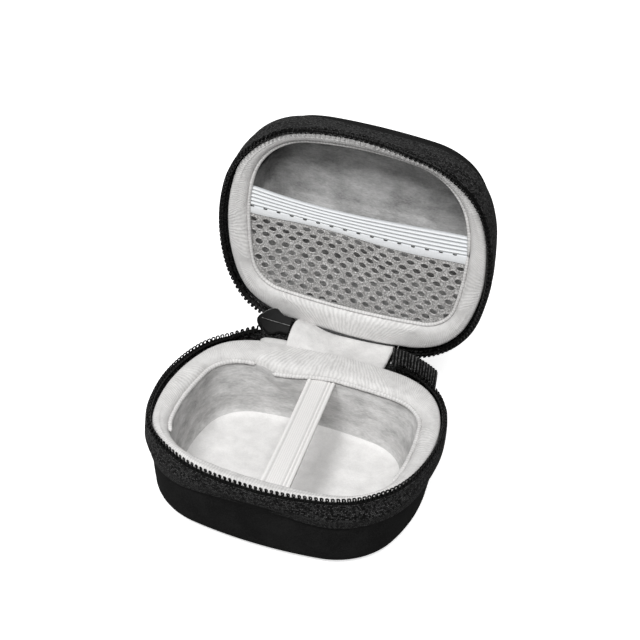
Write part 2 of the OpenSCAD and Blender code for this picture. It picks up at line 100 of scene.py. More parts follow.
def smooth_step(x, low, high):
    """0 below low, 1 above high, and an even curve between."""
    u = np.clip((np.asarray(x, float) - low) / (high - low), 0, 1)
    return u * u * (3 - 2 * u)


def corner_of(o):
    """Centre of the corner's arc, which meets the front and the side arcs without a kink."""
    a, b, rc, rf, rs, _ = o
    start, to = np.array([0, b - rf]), np.array([a - rs, 0.0])
    far = np.linalg.norm(to - start)
    ra, rb = rf - rc, rs - rc
    along = (ra * ra - rb * rb + far * far) / (2 * far)
    across = math.sqrt(ra * ra - along * along)
    e = (to - start) / far
    return start + along * e + across * np.array([e[1], -e[0]])


def turns_of(o):
    """Normal angles at which the side arc and the corner arc end."""
    c = corner_of(o)
    s, f = c - np.array([o[0] - o[4], 0]), c - np.array([0, o[1] - o[3]])
    return math.degrees(math.atan2(s[1], s[0])), math.degrees(math.atan2(f[1], f[0]))


def outline(o, d, t):
    """Points of an outline, offset outwards by d, at normal angles t in degrees."""
    t = np.asarray(t, float) % 360
    d = np.broadcast_to(d, t.shape)
    quadrant = (t // 90).astype(int)
    local = np.where(quadrant % 2 == 0, t - quadrant * 90, 90 - (t - quadrant * 90))
    sx = np.where((quadrant == 1) | (quadrant == 2), -1, 1)
    sy = np.where(quadrant >= 2, -1, 1)
    c = corner_of(o)
    side, front = turns_of(o)
    in_side, in_front = local < side, local >= front
    cx = np.where(in_side, o[0] - o[4], np.where(in_front, 0, c[0]))
    cy = np.where(in_side, 0, np.where(in_front, o[1] - o[3], c[1]))
    r = np.where(in_side, o[4], np.where(in_front, o[3], o[2])) + d
    a = np.radians(local)
    return np.stack([sx * (cx + r * np.cos(a)), sy * (cy + r * np.sin(a)) + o[5]], -1)


print("the corner's arc runs from and to", [round(t, 1) for t in turns_of(RIM)], "degrees")

# %% The soft openings


def mouth(half, d, t):
    """Points of a half's soft opening, which the base's strap draws in at the back."""
    t = np.asarray(t, float) % 360
    hinge, front = MOUTH[half]
    p = np.where((t <= 180)[..., None], outline(hinge, d, t), outline(front, d, t))
    if half == "base":
        pull = STRAP_PULL * smooth_step(p[..., 0], -21, -15) * smooth_step(-p[..., 0], -4, 9)
        p[..., 1] -= np.where(p[..., 1] > 0, pull, 0)
    return p


for half in MOUTH:
    print(half, "opening:", np.ptp(mouth(half, 0, np.arange(360)), axis=0).round(1), "mm")

# %% The zip's path, from the middle of the back over the left side and round
SIDE_A, FRONT_A = turns_of(RIM)
ARCS = [(RIM[3], 90, 180 - FRONT_A), (RIM[2], 180 - FRONT_A, 180 - SIDE_A),
        (RIM[4], 180 - SIDE_A, 180 + SIDE_A), (RIM[2], 180 + SIDE_A, 180 + FRONT_A),
        (RIM[3], 180 + FRONT_A, 360 - FRONT_A), (RIM[2], 360 - FRONT_A, 360 - SIDE_A),
        (RIM[4], 360 - SIDE_A, 360 + SIDE_A), (RIM[2], 360 + SIDE_A, 360 + FRONT_A),
        (RIM[3], 360 + FRONT_A, 450)]
ARC_AT = np.concatenate([[0], np.cumsum([r * math.radians(b - a) for r, a, b in ARCS])])
PATH_L = float(ARC_AT[-1])


def angle_at(s):
    """Normal angle at a length along the zip's path."""
    return np.interp(s, ARC_AT, [ARCS[0][1]] + [b for _, _, b in ARCS])


def length_at(t):
    """Length along the zip's path at a normal angle."""
    return float(np.interp(t, [ARCS[0][1]] + [b for _, _, b in ARCS], ARC_AT))


print("path round the rim:", round(PATH_L, 1), "mm")

# %% From the closed case to the open one


def turned(p, degrees):
    """Points of the closed case, turned open about the hinge line."""
    p = np.asarray(p, float)
    a = np.radians(degrees)
    y, z = p[..., 1] - HINGE_Y, p[..., 2] - HINGE_Z
    return np.stack([p[..., 0], HINGE_Y + y * np.cos(a) + z * np.sin(a),
                     HINGE_Z - y * np.sin(a) + z * np.cos(a)], -1)


def placed(half, p):
    """(x, y, w) of a half shell to the case's own frame, as the case stands open."""
    p = np.asarray(p, float)
    if half == "base":
        return np.stack([p[..., 0], p[..., 1], BASE_H - p[..., 2]], -1)
    return turned(np.stack([p[..., 0], p[..., 1], BASE_H + p[..., 2]], -1), OPEN)


# The rings of the shells, lips and bags have their points at these lengths round the rim
RING_N = 240
RING_STEP = PATH_L / RING_N
ROUND_S = np.linspace(0, PATH_L, RING_N + 1)[:-1]
ROUND = angle_at(ROUND_S)
NORMAL = outline(RIM, 1.0, ROUND) - outline(RIM, 0.0, ROUND)
print("rings of", RING_N, "points,", round(RING_STEP, 2), "mm apart")

# %% [markdown]
# ## How the cloth strays
# A sewn rim isn't quite the shape of its mould: the tape's free edge leans in where it is
# tight round a corner, and the shell is pressed in a little. A lattice could bend the whole
# case, but here each departure is a short list of (length along the zip, distance). Tape,
# coil, lip and shell all read the same lists, so they stay together.

# %% The lists, read off the photograph along the zip


def along(points, s):
    """Smooth values at lengths s from (length, value) pairs."""
    x, y = zip(*points)
    return np.mean([np.interp(np.asarray(s, float) + o, x, y) for o in (-2.4, -1.2, 0, 1.2, 2.4)], axis=0)


# LEAN: the tape's free edge, in at the corners and out along the sides. GIRTH: the shell.
# RISE: the tape's lower edge. LIP_EDGE: the lip's outer edge.
LEAN = {"base": [(20, -0.4), (27, -0.4), (35, 0.2), (45, 0.6), (62, 0.6), (72, 0.4), (80, -0.1), (86, -0.9),
                 (91, -1.5), (96, -1.8), (101, -1.4), (106, -0.5), (112, -0.1), (124, 0.1), (131, -0.2),
                 (138, -0.9), (145, -1.6), (151, -2.0), (157, -2.3), (163, -1.9), (170, -1.3), (178, -1.0),
                 (186, -0.5), (196, 0.0), (206, 0.1), (230, 0.0)],
        "lid": [(20, -0.4), (27, -0.4), (35, 0.5), (45, 0.9), (65, 0.8), (74, 0.5), (81, -0.3), (87, -1.1),
                (95, -1.2), (102, -0.7), (108, -0.1), (114, 0.1), (122, 0.0), (130, -0.5), (137, -1.3),
                (145, -1.8), (153, -1.7), (160, -1.1), (167, -0.5), (174, -0.2), (182, -0.2), (190, 0.1),
                (201, 0.5), (215, 0.5), (230, 0.1)]}
GIRTH = {"base": [(0, 0), (PATH_L, 0)],
         "lid": [(0, 0), (107, 0), (112, -0.6), (120, -1.3), (128, -1.6), (135, -1.5), (140, -1.2), (145, -1.0),
                 (150, -0.6), (156, 0), (172, 0), (178, -0.4), (184, -0.4), (190, 0), (PATH_L, 0)]}
RISE = {"base": [(0, 0), (100, 0), (106, 0.6), (115, 1.6), (125, 2.0), (132, 1.4), (139, 0.4), (145, 0.3),
                 (152, 0.6), (158, 0.9), (165, 0.5), (175, 0), (PATH_L, 0)],
        "lid": [(0, 0), (PATH_L, 0)]}
LIP_EDGE = [(0, -1.0), (24, -1.0), (34, 0.3), (214, 0.3), (228, -0.8), (PATH_L, -1.0)]
print("most the edge leans in:", min(v for points in LEAN.values() for _, v in points), "mm")

# %% [markdown]
# ## Mesh helpers
# Nearly every piece is rows of points joined by quads, as Bridge Edge Loops would join them
# by hand. grid_faces joins the rows, sweep closes them into a tube, slab makes a thick sheet
# of two sets of rows, and tube draws a round thread along a line. UVs are in millimetres, so
# a pattern keeps its true size on every piece.

# %% Pieces and rows of points
SMOOTH_ANGLE = math.radians(40)


def add_piece(name, verts, faces, material):
    """A smooth mesh piece from points in millimetres, with its faces turned outwards."""
    mesh = bpy.data.meshes.new(name)
    mesh.from_pydata([tuple(v) for v in np.asarray(verts, float) * MM], [], [tuple(f) for f in faces])
    bm = bmesh.new()
    bm.from_mesh(mesh)
    bmesh.ops.recalc_face_normals(bm, faces=bm.faces)
    bm.to_mesh(mesh)
    bm.free()
    mesh.polygons.foreach_set("use_smooth", [True] * len(mesh.polygons))
    mesh.set_sharp_from_angle(angle=SMOOTH_ANGLE)
    piece = bpy.data.objects.new(name, mesh)
    bpy.context.scene.collection.objects.link(piece)
    mesh.materials.append(material)
    return piece


def grid_faces(m, n, closed_n=True, closed_m=False):
    """Quads of m rings of n points."""
    faces = []
    for i in range(m if closed_m else m - 1):
        here, there = i * n, (i + 1) % m * n
        for j in range(n if closed_n else n - 1):
            k = (j + 1) % n
            faces.append((here + j, here + k, there + k, there + j))
    return faces


def level(xy, w):
    """Points of the plan xy at the depth w."""
    return np.column_stack([xy, np.broadcast_to(w, len(xy))])


print("two rings of three points give the faces", grid_faces(2, 3))

# %% Tubes, slabs and threads


def sweep(rings, closed=False):
    """Vertices and faces of a tube through equal rings, capped unless closed."""
    rings = np.asarray(rings, float)
    m, n = rings.shape[:2]
    faces = grid_faces(m, n, closed_m=closed)
    if not closed:
        faces += [tuple(reversed(range(n))), tuple(range((m - 1) * n, m * n))]
    return rings.reshape(-1, 3), faces


def slab(top, bottom):
    """Vertices and faces of a thick sheet between its rows of top and of bottom points."""
    return sweep([np.concatenate([t, b[::-1]]) for t, b in zip(top, bottom)])


def tube(points, radius, sides=8):
    """Rings of a round thread through points, by parallel transport."""
    p = np.asarray(points, float)
    tangent = np.gradient(p, axis=0)
    tangent /= np.linalg.norm(tangent, axis=1)[:, None]
    normal = np.cross(tangent[0], [0.3, 0.2, 1.0])
    rings = []
    for i in range(len(p)):
        normal = normal - tangent[i] * normal.dot(tangent[i])
        normal /= np.linalg.norm(normal)
        other = np.cross(tangent[i], normal)
        a = np.arange(sides) * 2 * np.pi / sides
        rings.append(p[i] + radius * (np.cos(a)[:, None] * normal + np.sin(a)[:, None] * other))
    return sweep(rings)


def merged(parts):
    """Several (verts, faces) as one."""
    verts, faces, at = [], [], 0
    for v, f in parts:
        verts.append(np.asarray(v, float))
        faces += [tuple(i + at for i in face) for face in f]
        at += len(v)
    return np.concatenate(verts), faces


print("a thread through 5 points has", len(tube(np.eye(5, 3) + np.arange(5)[:, None], 0.1)[1]), "faces")

# %% UVs and seeded unevenness


def uv_points(piece, u, v):
    """UVs from one (u, v) for each vertex."""
    layer = piece.data.uv_layers.new(name="UVMap")
    at = np.empty(len(piece.data.loops), int)
    piece.data.loops.foreach_get("vertex_index", at)
    layer.data.foreach_set("uv", np.column_stack([np.ravel(u)[at], np.ravel(v)[at]]).ravel())


def uv_grid(piece, n, du, dv, closed_n=True):
    """UVs in millimetres for rings of n points: u along rings, v across them."""
    layer = piece.data.uv_layers.new(name="UVMap")
    rows = np.arange(len(piece.data.vertices) // n) * dv if np.isscalar(dv) else np.asarray(dv)
    for poly in piece.data.polygons:
        idx = list(poly.vertices)
        cols = [i % n for i in idx]
        wrap = closed_n and max(cols) - min(cols) > n / 2
        for li, i in zip(poly.loop_indices, idx):
            c, r = i % n, i // n
            layer.data[li].uv = ((c + n if wrap and c < n / 2 else c) * du, rows[r])


def smooth_noise(n, step, seed):
    """Smooth closed noise of n values in -1..1 with a bump about every step values."""
    k = max(3, int(n / step))
    knots = np.random.default_rng(seed).uniform(-1, 1, k)
    x = np.arange(n) * k / n
    i = x.astype(int)
    f = x - i
    f = f * f * (3 - 2 * f)
    return knots[i % k] * (1 - f) + knots[(i + 1) % k] * f


print("noise of six values:", smooth_noise(6, 2, 1).round(2))

# %% [markdown]
# ## Patterns
# Velvet, tape, webbing and moulded skin differ in their pattern more than in their colour.
# An image texture would fix one look at one size. Each pattern is a node group instead: its
# Shade picks a colour from a ramp, its Height feeds a Bump node, and every cloth that uses
# it sets the inputs again.

# %% Node group helpers


def new_group(name, inputs):
    """A pattern's node group with its inputs, and a Shade and a Height to give out."""
    group = bpy.data.node_groups.new(name, "ShaderNodeTree")
    for label, value in inputs.items():
        kind = "NodeSocketVector" if isinstance(value, tuple) else "NodeSocketFloat"
        group.interface.new_socket(label, in_out="INPUT", socket_type=kind).default_value = value
    for label in ("Shade", "Height"):
        group.interface.new_socket(label, in_out="OUTPUT", socket_type="NodeSocketFloat")
    return group, group.nodes.new("NodeGroupInput"), group.nodes.new("NodeGroupOutput")


def feed(tree, socket, value):
    """Sets a socket to a number, or links another socket to it."""
    if isinstance(value, (int, float)):
        socket.default_value = value
    else:
        tree.links.new(value, socket)


def math_node(tree, op, a, b, clamp=False):
    """The outcome of a Math node on two numbers or sockets."""
    node = tree.nodes.new("ShaderNodeMath")
    node.operation, node.use_clamp = op, clamp
    feed(tree, node.inputs[0], a)
    feed(tree, node.inputs[1], b)
    return node.outputs[0]


def maths(tree):
    """A tree's own product, sum, difference and ping-pong of two values."""
    return [lambda a, b, clamp=False, op=op: math_node(tree, op, a, b, clamp)
            for op in ("MULTIPLY", "ADD", "SUBTRACT", "PINGPONG")]


def noise_node(tree, vector, scale, detail, rough):
    """Noise of 0..1 over a vector."""
    node = tree.nodes.new("ShaderNodeTexNoise")
    node.inputs["Detail"].default_value = detail
    node.inputs["Roughness"].default_value = rough
    feed(tree, node.inputs["Scale"], scale)
    tree.links.new(vector, node.inputs["Vector"])
    return node.outputs["Fac"]


def places(tree):
    """A point's place on its object, and its UV as two numbers."""
    split = tree.nodes.new("ShaderNodeSeparateXYZ")
    tree.links.new(tree.nodes.new("ShaderNodeUVMap").outputs["UV"], split.inputs[0])
    return tree.nodes.new("ShaderNodeTexCoord").outputs["Object"], split.outputs["X"], split.outputs["Y"]


print("every pattern gives out a Shade and a Height")

# %% [markdown]
# ### Velvet
# Short pile lies in patches that catch the light differently. Hair could grow it strand by
# strand, but at this size only the mottle shows: slow noise for the patches and fine noise
# for the pile. Ribs add the fine gathers across a lip, as a bump and as painted light and
# shade. RimShadow is a painted shadow: it darkens the wall along a bag's front, where the
# rim shades it from the lamps.

# %% Velvet pattern
RIB_W = 0.82
SHADOW_FROM, SHADOW_TO, SHADOW_FADE = 62.0, 183.0, 30
SHADOW_ROW, SHADOW_ROWS = 18.0, 8


def velvet_group():
    """Patches and pile, with ribs and a painted rim shadow that a material can add."""
    g, gi, go = new_group("velvet_pile", {"Mottle": 420.0, "Pile": 2400.0, "Ribs": 0.0, "RimShadow": 0.0,
                                          "Stretch": (1, 1, 1)})
    times, plus, minus, fold = maths(g)
    place, u, v = places(g)
    stretched = g.nodes.new("ShaderNodeVectorMath")
    stretched.operation = "MULTIPLY"
    g.links.new(place, stretched.inputs[0])
    g.links.new(gi.outputs["Stretch"], stretched.inputs[1])
    mottle = noise_node(g, stretched.outputs[0], gi.outputs["Mottle"], 4.0, 0.6)
    pile = noise_node(g, stretched.outputs[0], gi.outputs["Pile"], 2.0, 0.7)
    broad = noise_node(g, place, 110.0, 2.0, 0.5)
    mix = plus(times(mottle, 0.5), plus(times(pile, 0.25), times(broad, 0.25)))
    # Ribs: a folded ramp along u, pushed about and faded by noise. In Shade they are painted light and shade of
    # the gathers, and in Height a bump
    phase = plus(times(u, 1 / RIB_W), times(noise_node(g, place, 500.0, 2.0, 0.5), 1.3))
    wave = times(fold(phase, 0.5), 2.0)
    ribs = times(times(minus(wave, 0.5), noise_node(g, place, 260.0, 2.0, 0.5)), gi.outputs["Ribs"])
    # Painted shadow: darker along the front of the ring and on the rows near the rim
    sides = times(times(minus(u, SHADOW_FROM), 1 / SHADOW_FADE, True),
                  times(minus(SHADOW_TO, u), 1 / SHADOW_FADE, True))
    deep = times(minus(SHADOW_ROW, v), 1 / SHADOW_ROWS, True)
    rim_shadow = times(times(sides, deep), gi.outputs["RimShadow"])
    g.links.new(minus(plus(mix, times(ribs, 0.3)), rim_shadow), go.inputs["Shade"])
    g.links.new(plus(plus(times(mottle, 0.6), pile), ribs), go.inputs["Height"])
    return g


GROUPS = {"velvet": velvet_group()}
print("velvet pattern:", len(GROUPS["velvet"].nodes), "nodes")

# %% [markdown]
# ### Tape weave, ribs and grain
# Zip tape shows short floats of yarn, some dark and some bright where they catch the light: a
# Brick texture with offset rows paints them, the bright ones as painted sparkle, and a little
# noise pushes its grid out of true. Webbing, elastic and strap are ribs counted by the UV's
# second number, so a rib is a whole number wherever the mesh has one, and their Shade paints
# shade in the grooves and light on the crests. The moulded knit and the paint are one fine
# noise with a slow drift.

# %% Weave pattern


def weave_group():
    """Floats of yarn in offset rows, of a length and a width in millimetres."""
    g, gi, go = new_group("float_weave", {"Float": 0.8, "Yarn": 0.42})
    times, plus, minus, _ = maths(g)
    uv = g.nodes.new("ShaderNodeUVMap").outputs["UV"]
    place = g.nodes.new("ShaderNodeTexCoord").outputs["Object"]
    warp = g.nodes.new("ShaderNodeTexNoise")
    warp.inputs["Scale"].default_value = 900.0
    g.links.new(place, warp.inputs["Vector"])
    push = g.nodes.new("ShaderNodeVectorMath")
    push.operation = "MULTIPLY_ADD"
    g.links.new(warp.outputs["Color"], push.inputs[0])
    push.inputs[1].default_value = (0.1, 0.1, 0.0)
    g.links.new(uv, push.inputs[2])
    brick = g.nodes.new("ShaderNodeTexBrick")
    brick.offset, brick.offset_frequency = 0.5, 2
    g.links.new(push.outputs[0], brick.inputs["Vector"])
    for label, value in (("Color1", 0.15), ("Color2", 1.0), ("Mortar", 0.0)):
        brick.inputs[label].default_value = (value, value, value, 1)
    for label, value in (("Scale", 1.0), ("Mortar Size", 0.09), ("Mortar Smooth", 0.8), ("Bias", -0.1)):
        brick.inputs[label].default_value = value
    g.links.new(gi.outputs["Float"], brick.inputs["Brick Width"])
    g.links.new(gi.outputs["Yarn"], brick.inputs["Row Height"])
    fuzz = noise_node(g, place, 3600.0, 2.0, 0.6)
    # Painted sparkle: the bright floats stand in for light caught by the yarn
    g.links.new(times(brick.outputs["Color"], plus(fuzz, 0.35)), go.inputs["Shade"])
    g.links.new(plus(minus(1.0, brick.outputs["Fac"]), times(fuzz, 0.5)), go.inputs["Height"])
    return g


GROUPS["weave"] = weave_group()
print("weave pattern:", len(GROUPS["weave"].nodes), "nodes")

# %% Rib pattern
PICK_W = 0.35


def rib_group():
    """Ribs one unit of v apart, painted shade in the grooves and light on the crests, crossed by fine picks
    along u.
    """
    g, gi, go = new_group("woven_ribs", {"Fuzz": 0.12})
    times, plus, minus, fold = maths(g)
    place, u, v = places(g)
    # Painted light and shade: 0 in a rib's groove, at whole v, and 1 on its crest
    rib = times(fold(v, 0.5), 2.0)
    picks = fold(times(u, 1 / PICK_W), 1.0)
    fuzz = noise_node(g, place, 1500.0, 3.0, 0.6)
    fine = plus(times(minus(fuzz, 0.5), gi.outputs["Fuzz"]), times(minus(picks, 0.5), 0.05))
    g.links.new(plus(rib, fine), go.inputs["Shade"])
    g.links.new(plus(times(picks, 0.3), fuzz), go.inputs["Height"])
    return g


GROUPS["ribs"] = rib_group()
print("rib pattern:", len(GROUPS["ribs"].nodes), "nodes")

# %% Grain pattern


def grain_group():
    """Fine even noise with a slow drift."""
    g, gi, go = new_group("fine_grain", {"Size": 2200.0, "Broad": 0.4})
    times, plus, minus, _ = maths(g)
    place = g.nodes.new("ShaderNodeTexCoord").outputs["Object"]
    fine = noise_node(g, place, gi.outputs["Size"], 3.0, 0.6)
    drift = times(minus(noise_node(g, place, 160.0, 2.0, 0.5), 0.5), gi.outputs["Broad"])
    g.links.new(plus(fine, drift), go.inputs["Shade"])
    g.links.new(fine, go.inputs["Height"])
    return g


GROUPS["grain"] = grain_group()
print("patterns:", sorted(GROUPS))

# %% [markdown]
# ## Materials
# Each cloth places a pattern's group in its own material and runs its Shade through a ramp
# from a dark to a light grey. A Mix of two whole shaders would also vary it, but one ramp
# on the Base Color keeps the material simple and lets it be baked. Sheen gives the cloths
# their soft edge light, and only the coil is glossy.

# %% Material helper


def make_material(name, pattern, dark, light, rough, bump, inputs=None, sheen=None, spec=0.5,
                  low=0.35, high=0.65, deepest=None):
    """A material whose colour runs from dark to light with its pattern's shade."""
    m = bpy.data.materials.new(name)
    m.use_nodes = True
    t = m.node_tree
    shader = t.nodes["Principled BSDF"]
    group = t.nodes.new("ShaderNodeGroup")
    group.node_tree = GROUPS[pattern]
    for label, value in (inputs or {}).items():
        group.inputs[label].default_value = value
    ramp = t.nodes.new("ShaderNodeValToRGB")
    for stop, place, colour in zip(ramp.color_ramp.elements, (low, high), (dark, light)):
        stop.position, stop.color = place, (*colour, 1)
    # A stop at 0 holds the darkest grey, which a painted shadow reaches
    if deepest:
        ramp.color_ramp.elements.new(0.0).color = (*deepest, 1)
    t.links.new(group.outputs["Shade"], ramp.inputs[0])
    t.links.new(ramp.outputs[0], shader.inputs["Base Color"])
    shader.inputs["Roughness"].default_value = rough
    shader.inputs["Specular IOR Level"].default_value = spec
    if sheen:
        shader.inputs["Sheen Weight"].default_value = sheen[0]
        shader.inputs["Sheen Roughness"].default_value = sheen[1]
    b = t.nodes.new("ShaderNodeBump")
    b.inputs["Strength"].default_value = bump[0]
    b.inputs["Distance"].default_value = bump[1]
    t.links.new(group.outputs["Height"], b.inputs["Height"])
    t.links.new(b.outputs[0], shader.inputs["Normal"])
    return m


def grey(v, warm=0.0):
    """A linear grey from a display value of 0..255, warmer for warm > 0."""
    x = (v / 255) ** 2.2
    return (min(1, x * (1 + warm)), x, max(0, x * (1 - warm)))


print("grey 128 is", round(grey(128)[0], 3), "in linear light")

# %% [markdown]
# ### Black cloths and the coil
# The cover is a dull thin knit, the tape a coarser weave with a painted sparkle of bright
# floats, the webbing coarser still. They could share one black, but then the case would look
# like one casting. Each has its own pattern, roughness and edge light, and the nylon coil
# alone is smooth.

# %% Black cloths, webbing and coil
cover_mat = make_material("cover_knit", "grain", grey(26), grey(39), 0.75, (0.25, 0.0001),
                          {"Size": 3000.0}, spec=0.06)
tape_mat = make_material("zip_tape", "weave", grey(8), grey(90), 0.85, (0.6, 0.0002),
                         {"Float": 0.46, "Yarn": 0.4}, sheen=(0.04, 0.5), low=0.16, high=1.25, spec=0.1)
webbing_mat = make_material("webbing", "weave", grey(10), grey(70), 0.8, (0.6, 0.0002),
                            {"Float": 0.5, "Yarn": 0.4}, sheen=(0.03, 0.5), low=0.3, high=1.2, spec=0.15)
# Painted highlights: the rib pattern lights the crests of the tab's ribs
tab_mat = make_material("tab_webbing", "ribs", grey(10), grey(86), 0.8, (0.5, 0.0002),
                        {"Fuzz": 2.2}, spec=0.15, low=0.5, high=1.5)
coil_mat = make_material("coil_nylon", "grain", grey(5), grey(11), 0.3, (0.04, 0.0001),
                         {"Size": 900.0}, spec=0.3)
print("black:", cover_mat.name, tape_mat.name, webbing_mat.name, tab_mat.name, coil_mat.name)

# %% [markdown]
# ### Velvet, elastic and net
# All of them are off-white in the hand. One material for all would be simpler and too even,
# so each piece has a ramp of its own, darker where less light reaches it: nearly white on the
# base's floor; darker on the base's walls and in the lid's bag, as painted shade; darkest on
# the lid's front wall, as a painted shadow of its rim; and speckled on the net, with painted
# glints on its threads.

# %% Pale velvet, elastic and net
# The lip's ribs paint the light and shade of its gathers into the colour, besides a bump
velvet_mat = make_material("velvet_lip", "velvet", grey(190, 0.014), grey(222, 0.012), 0.95, (0.4, 0.0002),
                           {"Ribs": 1.7}, sheen=(0.1, 0.4), spec=0.08, low=0.3, high=0.7)
hinge_mat = make_material("velvet_hinge", "velvet", grey(192, 0.012), grey(226, 0.012), 0.95, (0.6, 0.0003),
                          {"Mottle": 330.0}, sheen=(0.1, 0.4), spec=0.08, low=0.3, high=0.7)
lining_mat = make_material("velvet_lining", "velvet", grey(206, 0.012), grey(230, 0.010), 0.95,
                           (0.4, 0.0002), {"Mottle": 260.0}, sheen=(0.1, 0.4), spec=0.08)
# Painted shade: the base's walls are a darker copy of the lining's velvet, streaked along the pile
wall_shade_mat = make_material("velvet_wall_shade", "velvet", grey(146, 0.010), grey(206, 0.010), 0.95,
                         (0.55, 0.0003), {"Mottle": 260.0, "Pile": 1500.0, "Stretch": (0.5, 0.5, 1.6)},
                         sheen=(0.08, 0.4), spec=0.08)
# Painted shade: the lid's bag is a darker copy of the base's velvet, and RimShadow with the deepest grey paints
# its rim's shadow
lid_lining_mat = make_material("velvet_lid_lining", "velvet", grey(138, 0.004), grey(206, 0.004), 0.95,
                               (0.5, 0.0003), {"Mottle": 230.0, "Pile": 1700.0, "Stretch": (0.6, 1.0, 1.4),
                                               "RimShadow": 0.66},
                               sheen=(0.02, 0.4), spec=0.08, low=0.36, high=0.64, deepest=grey(34))
elastic_mat = make_material("elastic", "ribs", grey(196, -0.03), grey(236, -0.016), 0.8, (0.3, 0.0001),
                            {"Fuzz": 0.2}, spec=0.15, low=0.1, high=0.9)
strap_mat = make_material("strap_elastic", "ribs", grey(172, 0.018), grey(243, 0.014), 0.8,
                          (0.1, 0.0001), {"Fuzz": 0.2}, spec=0.15, low=0.0, high=0.95)
# Painted glints: the pale specks of the fine grain stand in for light on the threads
net_mat = make_material("net_thread", "grain", grey(134, 0.022), grey(218, 0.012), 0.8, (0.7, 0.0002),
                        {"Size": 2300.0, "Broad": 0.12}, sheen=(0.08, 0.5), spec=0.2, low=0.44, high=0.7)
print("pale:", velvet_mat.name, hinge_mat.name, lining_mat.name, wall_shade_mat.name, net_mat.name)

# %% [markdown]
# ### Slider paint, painted edge highlights, and dark threads as painted shade
# The slider is black paint on metal, and its edges catch the light. A mask could mix the
# paint with a paler colour, but nothing in the mesh marks the edges. Thin pieces of a paler
# material laid on the edges paint these highlights more simply, and they go through the
# export as a shape. The threads at the hinge and along the elastic are dark as painted shade.

# %% Slider paint, its painted edge highlights, and threads painted dark for shade
slider_mat = make_material("slider_paint", "grain", grey(14), grey(20), 0.55, (0.05, 0.0001),
                           {"Size": 1200.0}, spec=0.12)
# Painted highlights for the slider's edges and its middle ridge
edge_highlight_mat = make_material("slider_edge_highlight", "grain", grey(84), grey(126), 0.45, (0.05, 0.0001),
                         {"Size": 1500.0}, spec=0.3)
# Painted shadow: a dark cord stands in for the shaded gap under the lid's lip at the hinge
gap_shadow_mat = make_material("gap_shadow_cord", "grain", grey(34), grey(84), 0.85, (0.3, 0.0001), spec=0.1)
# Painted shade: the stitches are dark like the pits that they pull into the elastic
stitch_shade_mat = make_material("thread", "grain", grey(40), grey(66), 0.8, (0.3, 0.0001), spec=0.2)
print("materials:", len(bpy.data.materials))

# %% [markdown]
# ## Shells
# The outside of each half is foam pressed hot under a thin knit: one smooth skin with a
# rounded floor edge and no seams. A cube with a Bevel and a Subdivision Surface comes near
# it. A loft of rings, each an outline at its own offset and depth, meets the measured shape
# exactly, and it runs on under the tape, so that no gap opens there.

# %% Shells
SKIN_D, FLOOR_R, DRAFT = 1.6, 5.4, 1.0


def shell_rings(half):
    """(offset, depth) of the skin's rings, from under the tape to the flat floor."""
    h, waist = HEIGHT[half], WAIST[half]
    low = h - FLOOR_R
    rings = [(1.45, 5.0), (SKIN_D, 5.02), (SKIN_D, 5.2)]
    rings += [(SKIN_D + (waist - SKIN_D) * u, 5.2 + 4.1 * u) for u in (0.25, 0.5, 0.75, 1.0)]
    rings += [(waist - (DRAFT + waist) * (0.35 * u + 0.65 * u * u), TAPE_H + (low - TAPE_H) * u)
              for u in np.linspace(0.12, 1, 7)]
    rings += [(-DRAFT - FLOOR_R + FLOOR_R * math.cos(a), low + FLOOR_R * math.sin(a))
              for a in np.radians(np.linspace(9, 90, 10))]
    return rings + [(d, h) for d in (-9.0, -13.0, -18.0)]


def skin_piece(half):
    """A half's skin, drawn in under the tape, and half as much at the floor."""
    rings = shell_rings(half)
    verts = np.array([level(outline(RIM, d, ROUND), w) for d, w in rings])
    share = 1 - 0.5 * smooth_step(verts[:, :1, 2], 9, HEIGHT[half])
    verts[:, :, :2] += along(GIRTH[half], ROUND_S)[None, :, None] * share[..., None] * NORMAL[None]
    floor_face = tuple(reversed(range((len(rings) - 1) * RING_N, len(rings) * RING_N)))
    return add_piece(f"{half}_skin", placed(half, verts.reshape(-1, 3)),
                     grid_faces(len(rings), RING_N) + [floor_face], cover_mat)


for half in ("base", "lid"):
    skin = skin_piece(half)
    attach(skin, half)
    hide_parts(f"{half}_cover")
    print(skin.name, len(skin.data.polygons), "faces")

# %% [markdown]
# ## Velvet lips
# Each rim is a padded lip. Its velvet is pulled tight inwards, so the lip is nearly flat on
# top, round at both edges and finely gathered towards the opening. A Cloth simulation or a
# pinch brush could make the gathers. Here they are seeded noise on the depth of the rings,
# because the lip's two edges are measured and have to stay where they are.

# %% Lips
# The profile: the outer edge, a nearly flat top, and a slope to the hem's groove. Each
# point is its distance in from the nearest edge, or its share of the top, and its depth.
LIP_OUT = [(0, TAPE_FREE), (0, 3.0), (0, 2.1), (0.2, 1.72), (0.7, 1.5), (1.4, 1.42)]
LIP_TOP = [0.15, 0.35, 0.55, 0.75, 0.92]
LIP_IN = [(2.95, 1.5), (2.35, 1.58), (1.75, 1.76), (1.2, 2.04), (0.75, 2.4), (0.45, 2.8), (0.27, 3.2),
          (0.15, 3.7), (0.05, 4.3), (0, 5.0)]
OUT_W, IN_W, TOP_DEPTH = LIP_OUT[-1][0], LIP_IN[0][0], LIP_OUT[-1][1]


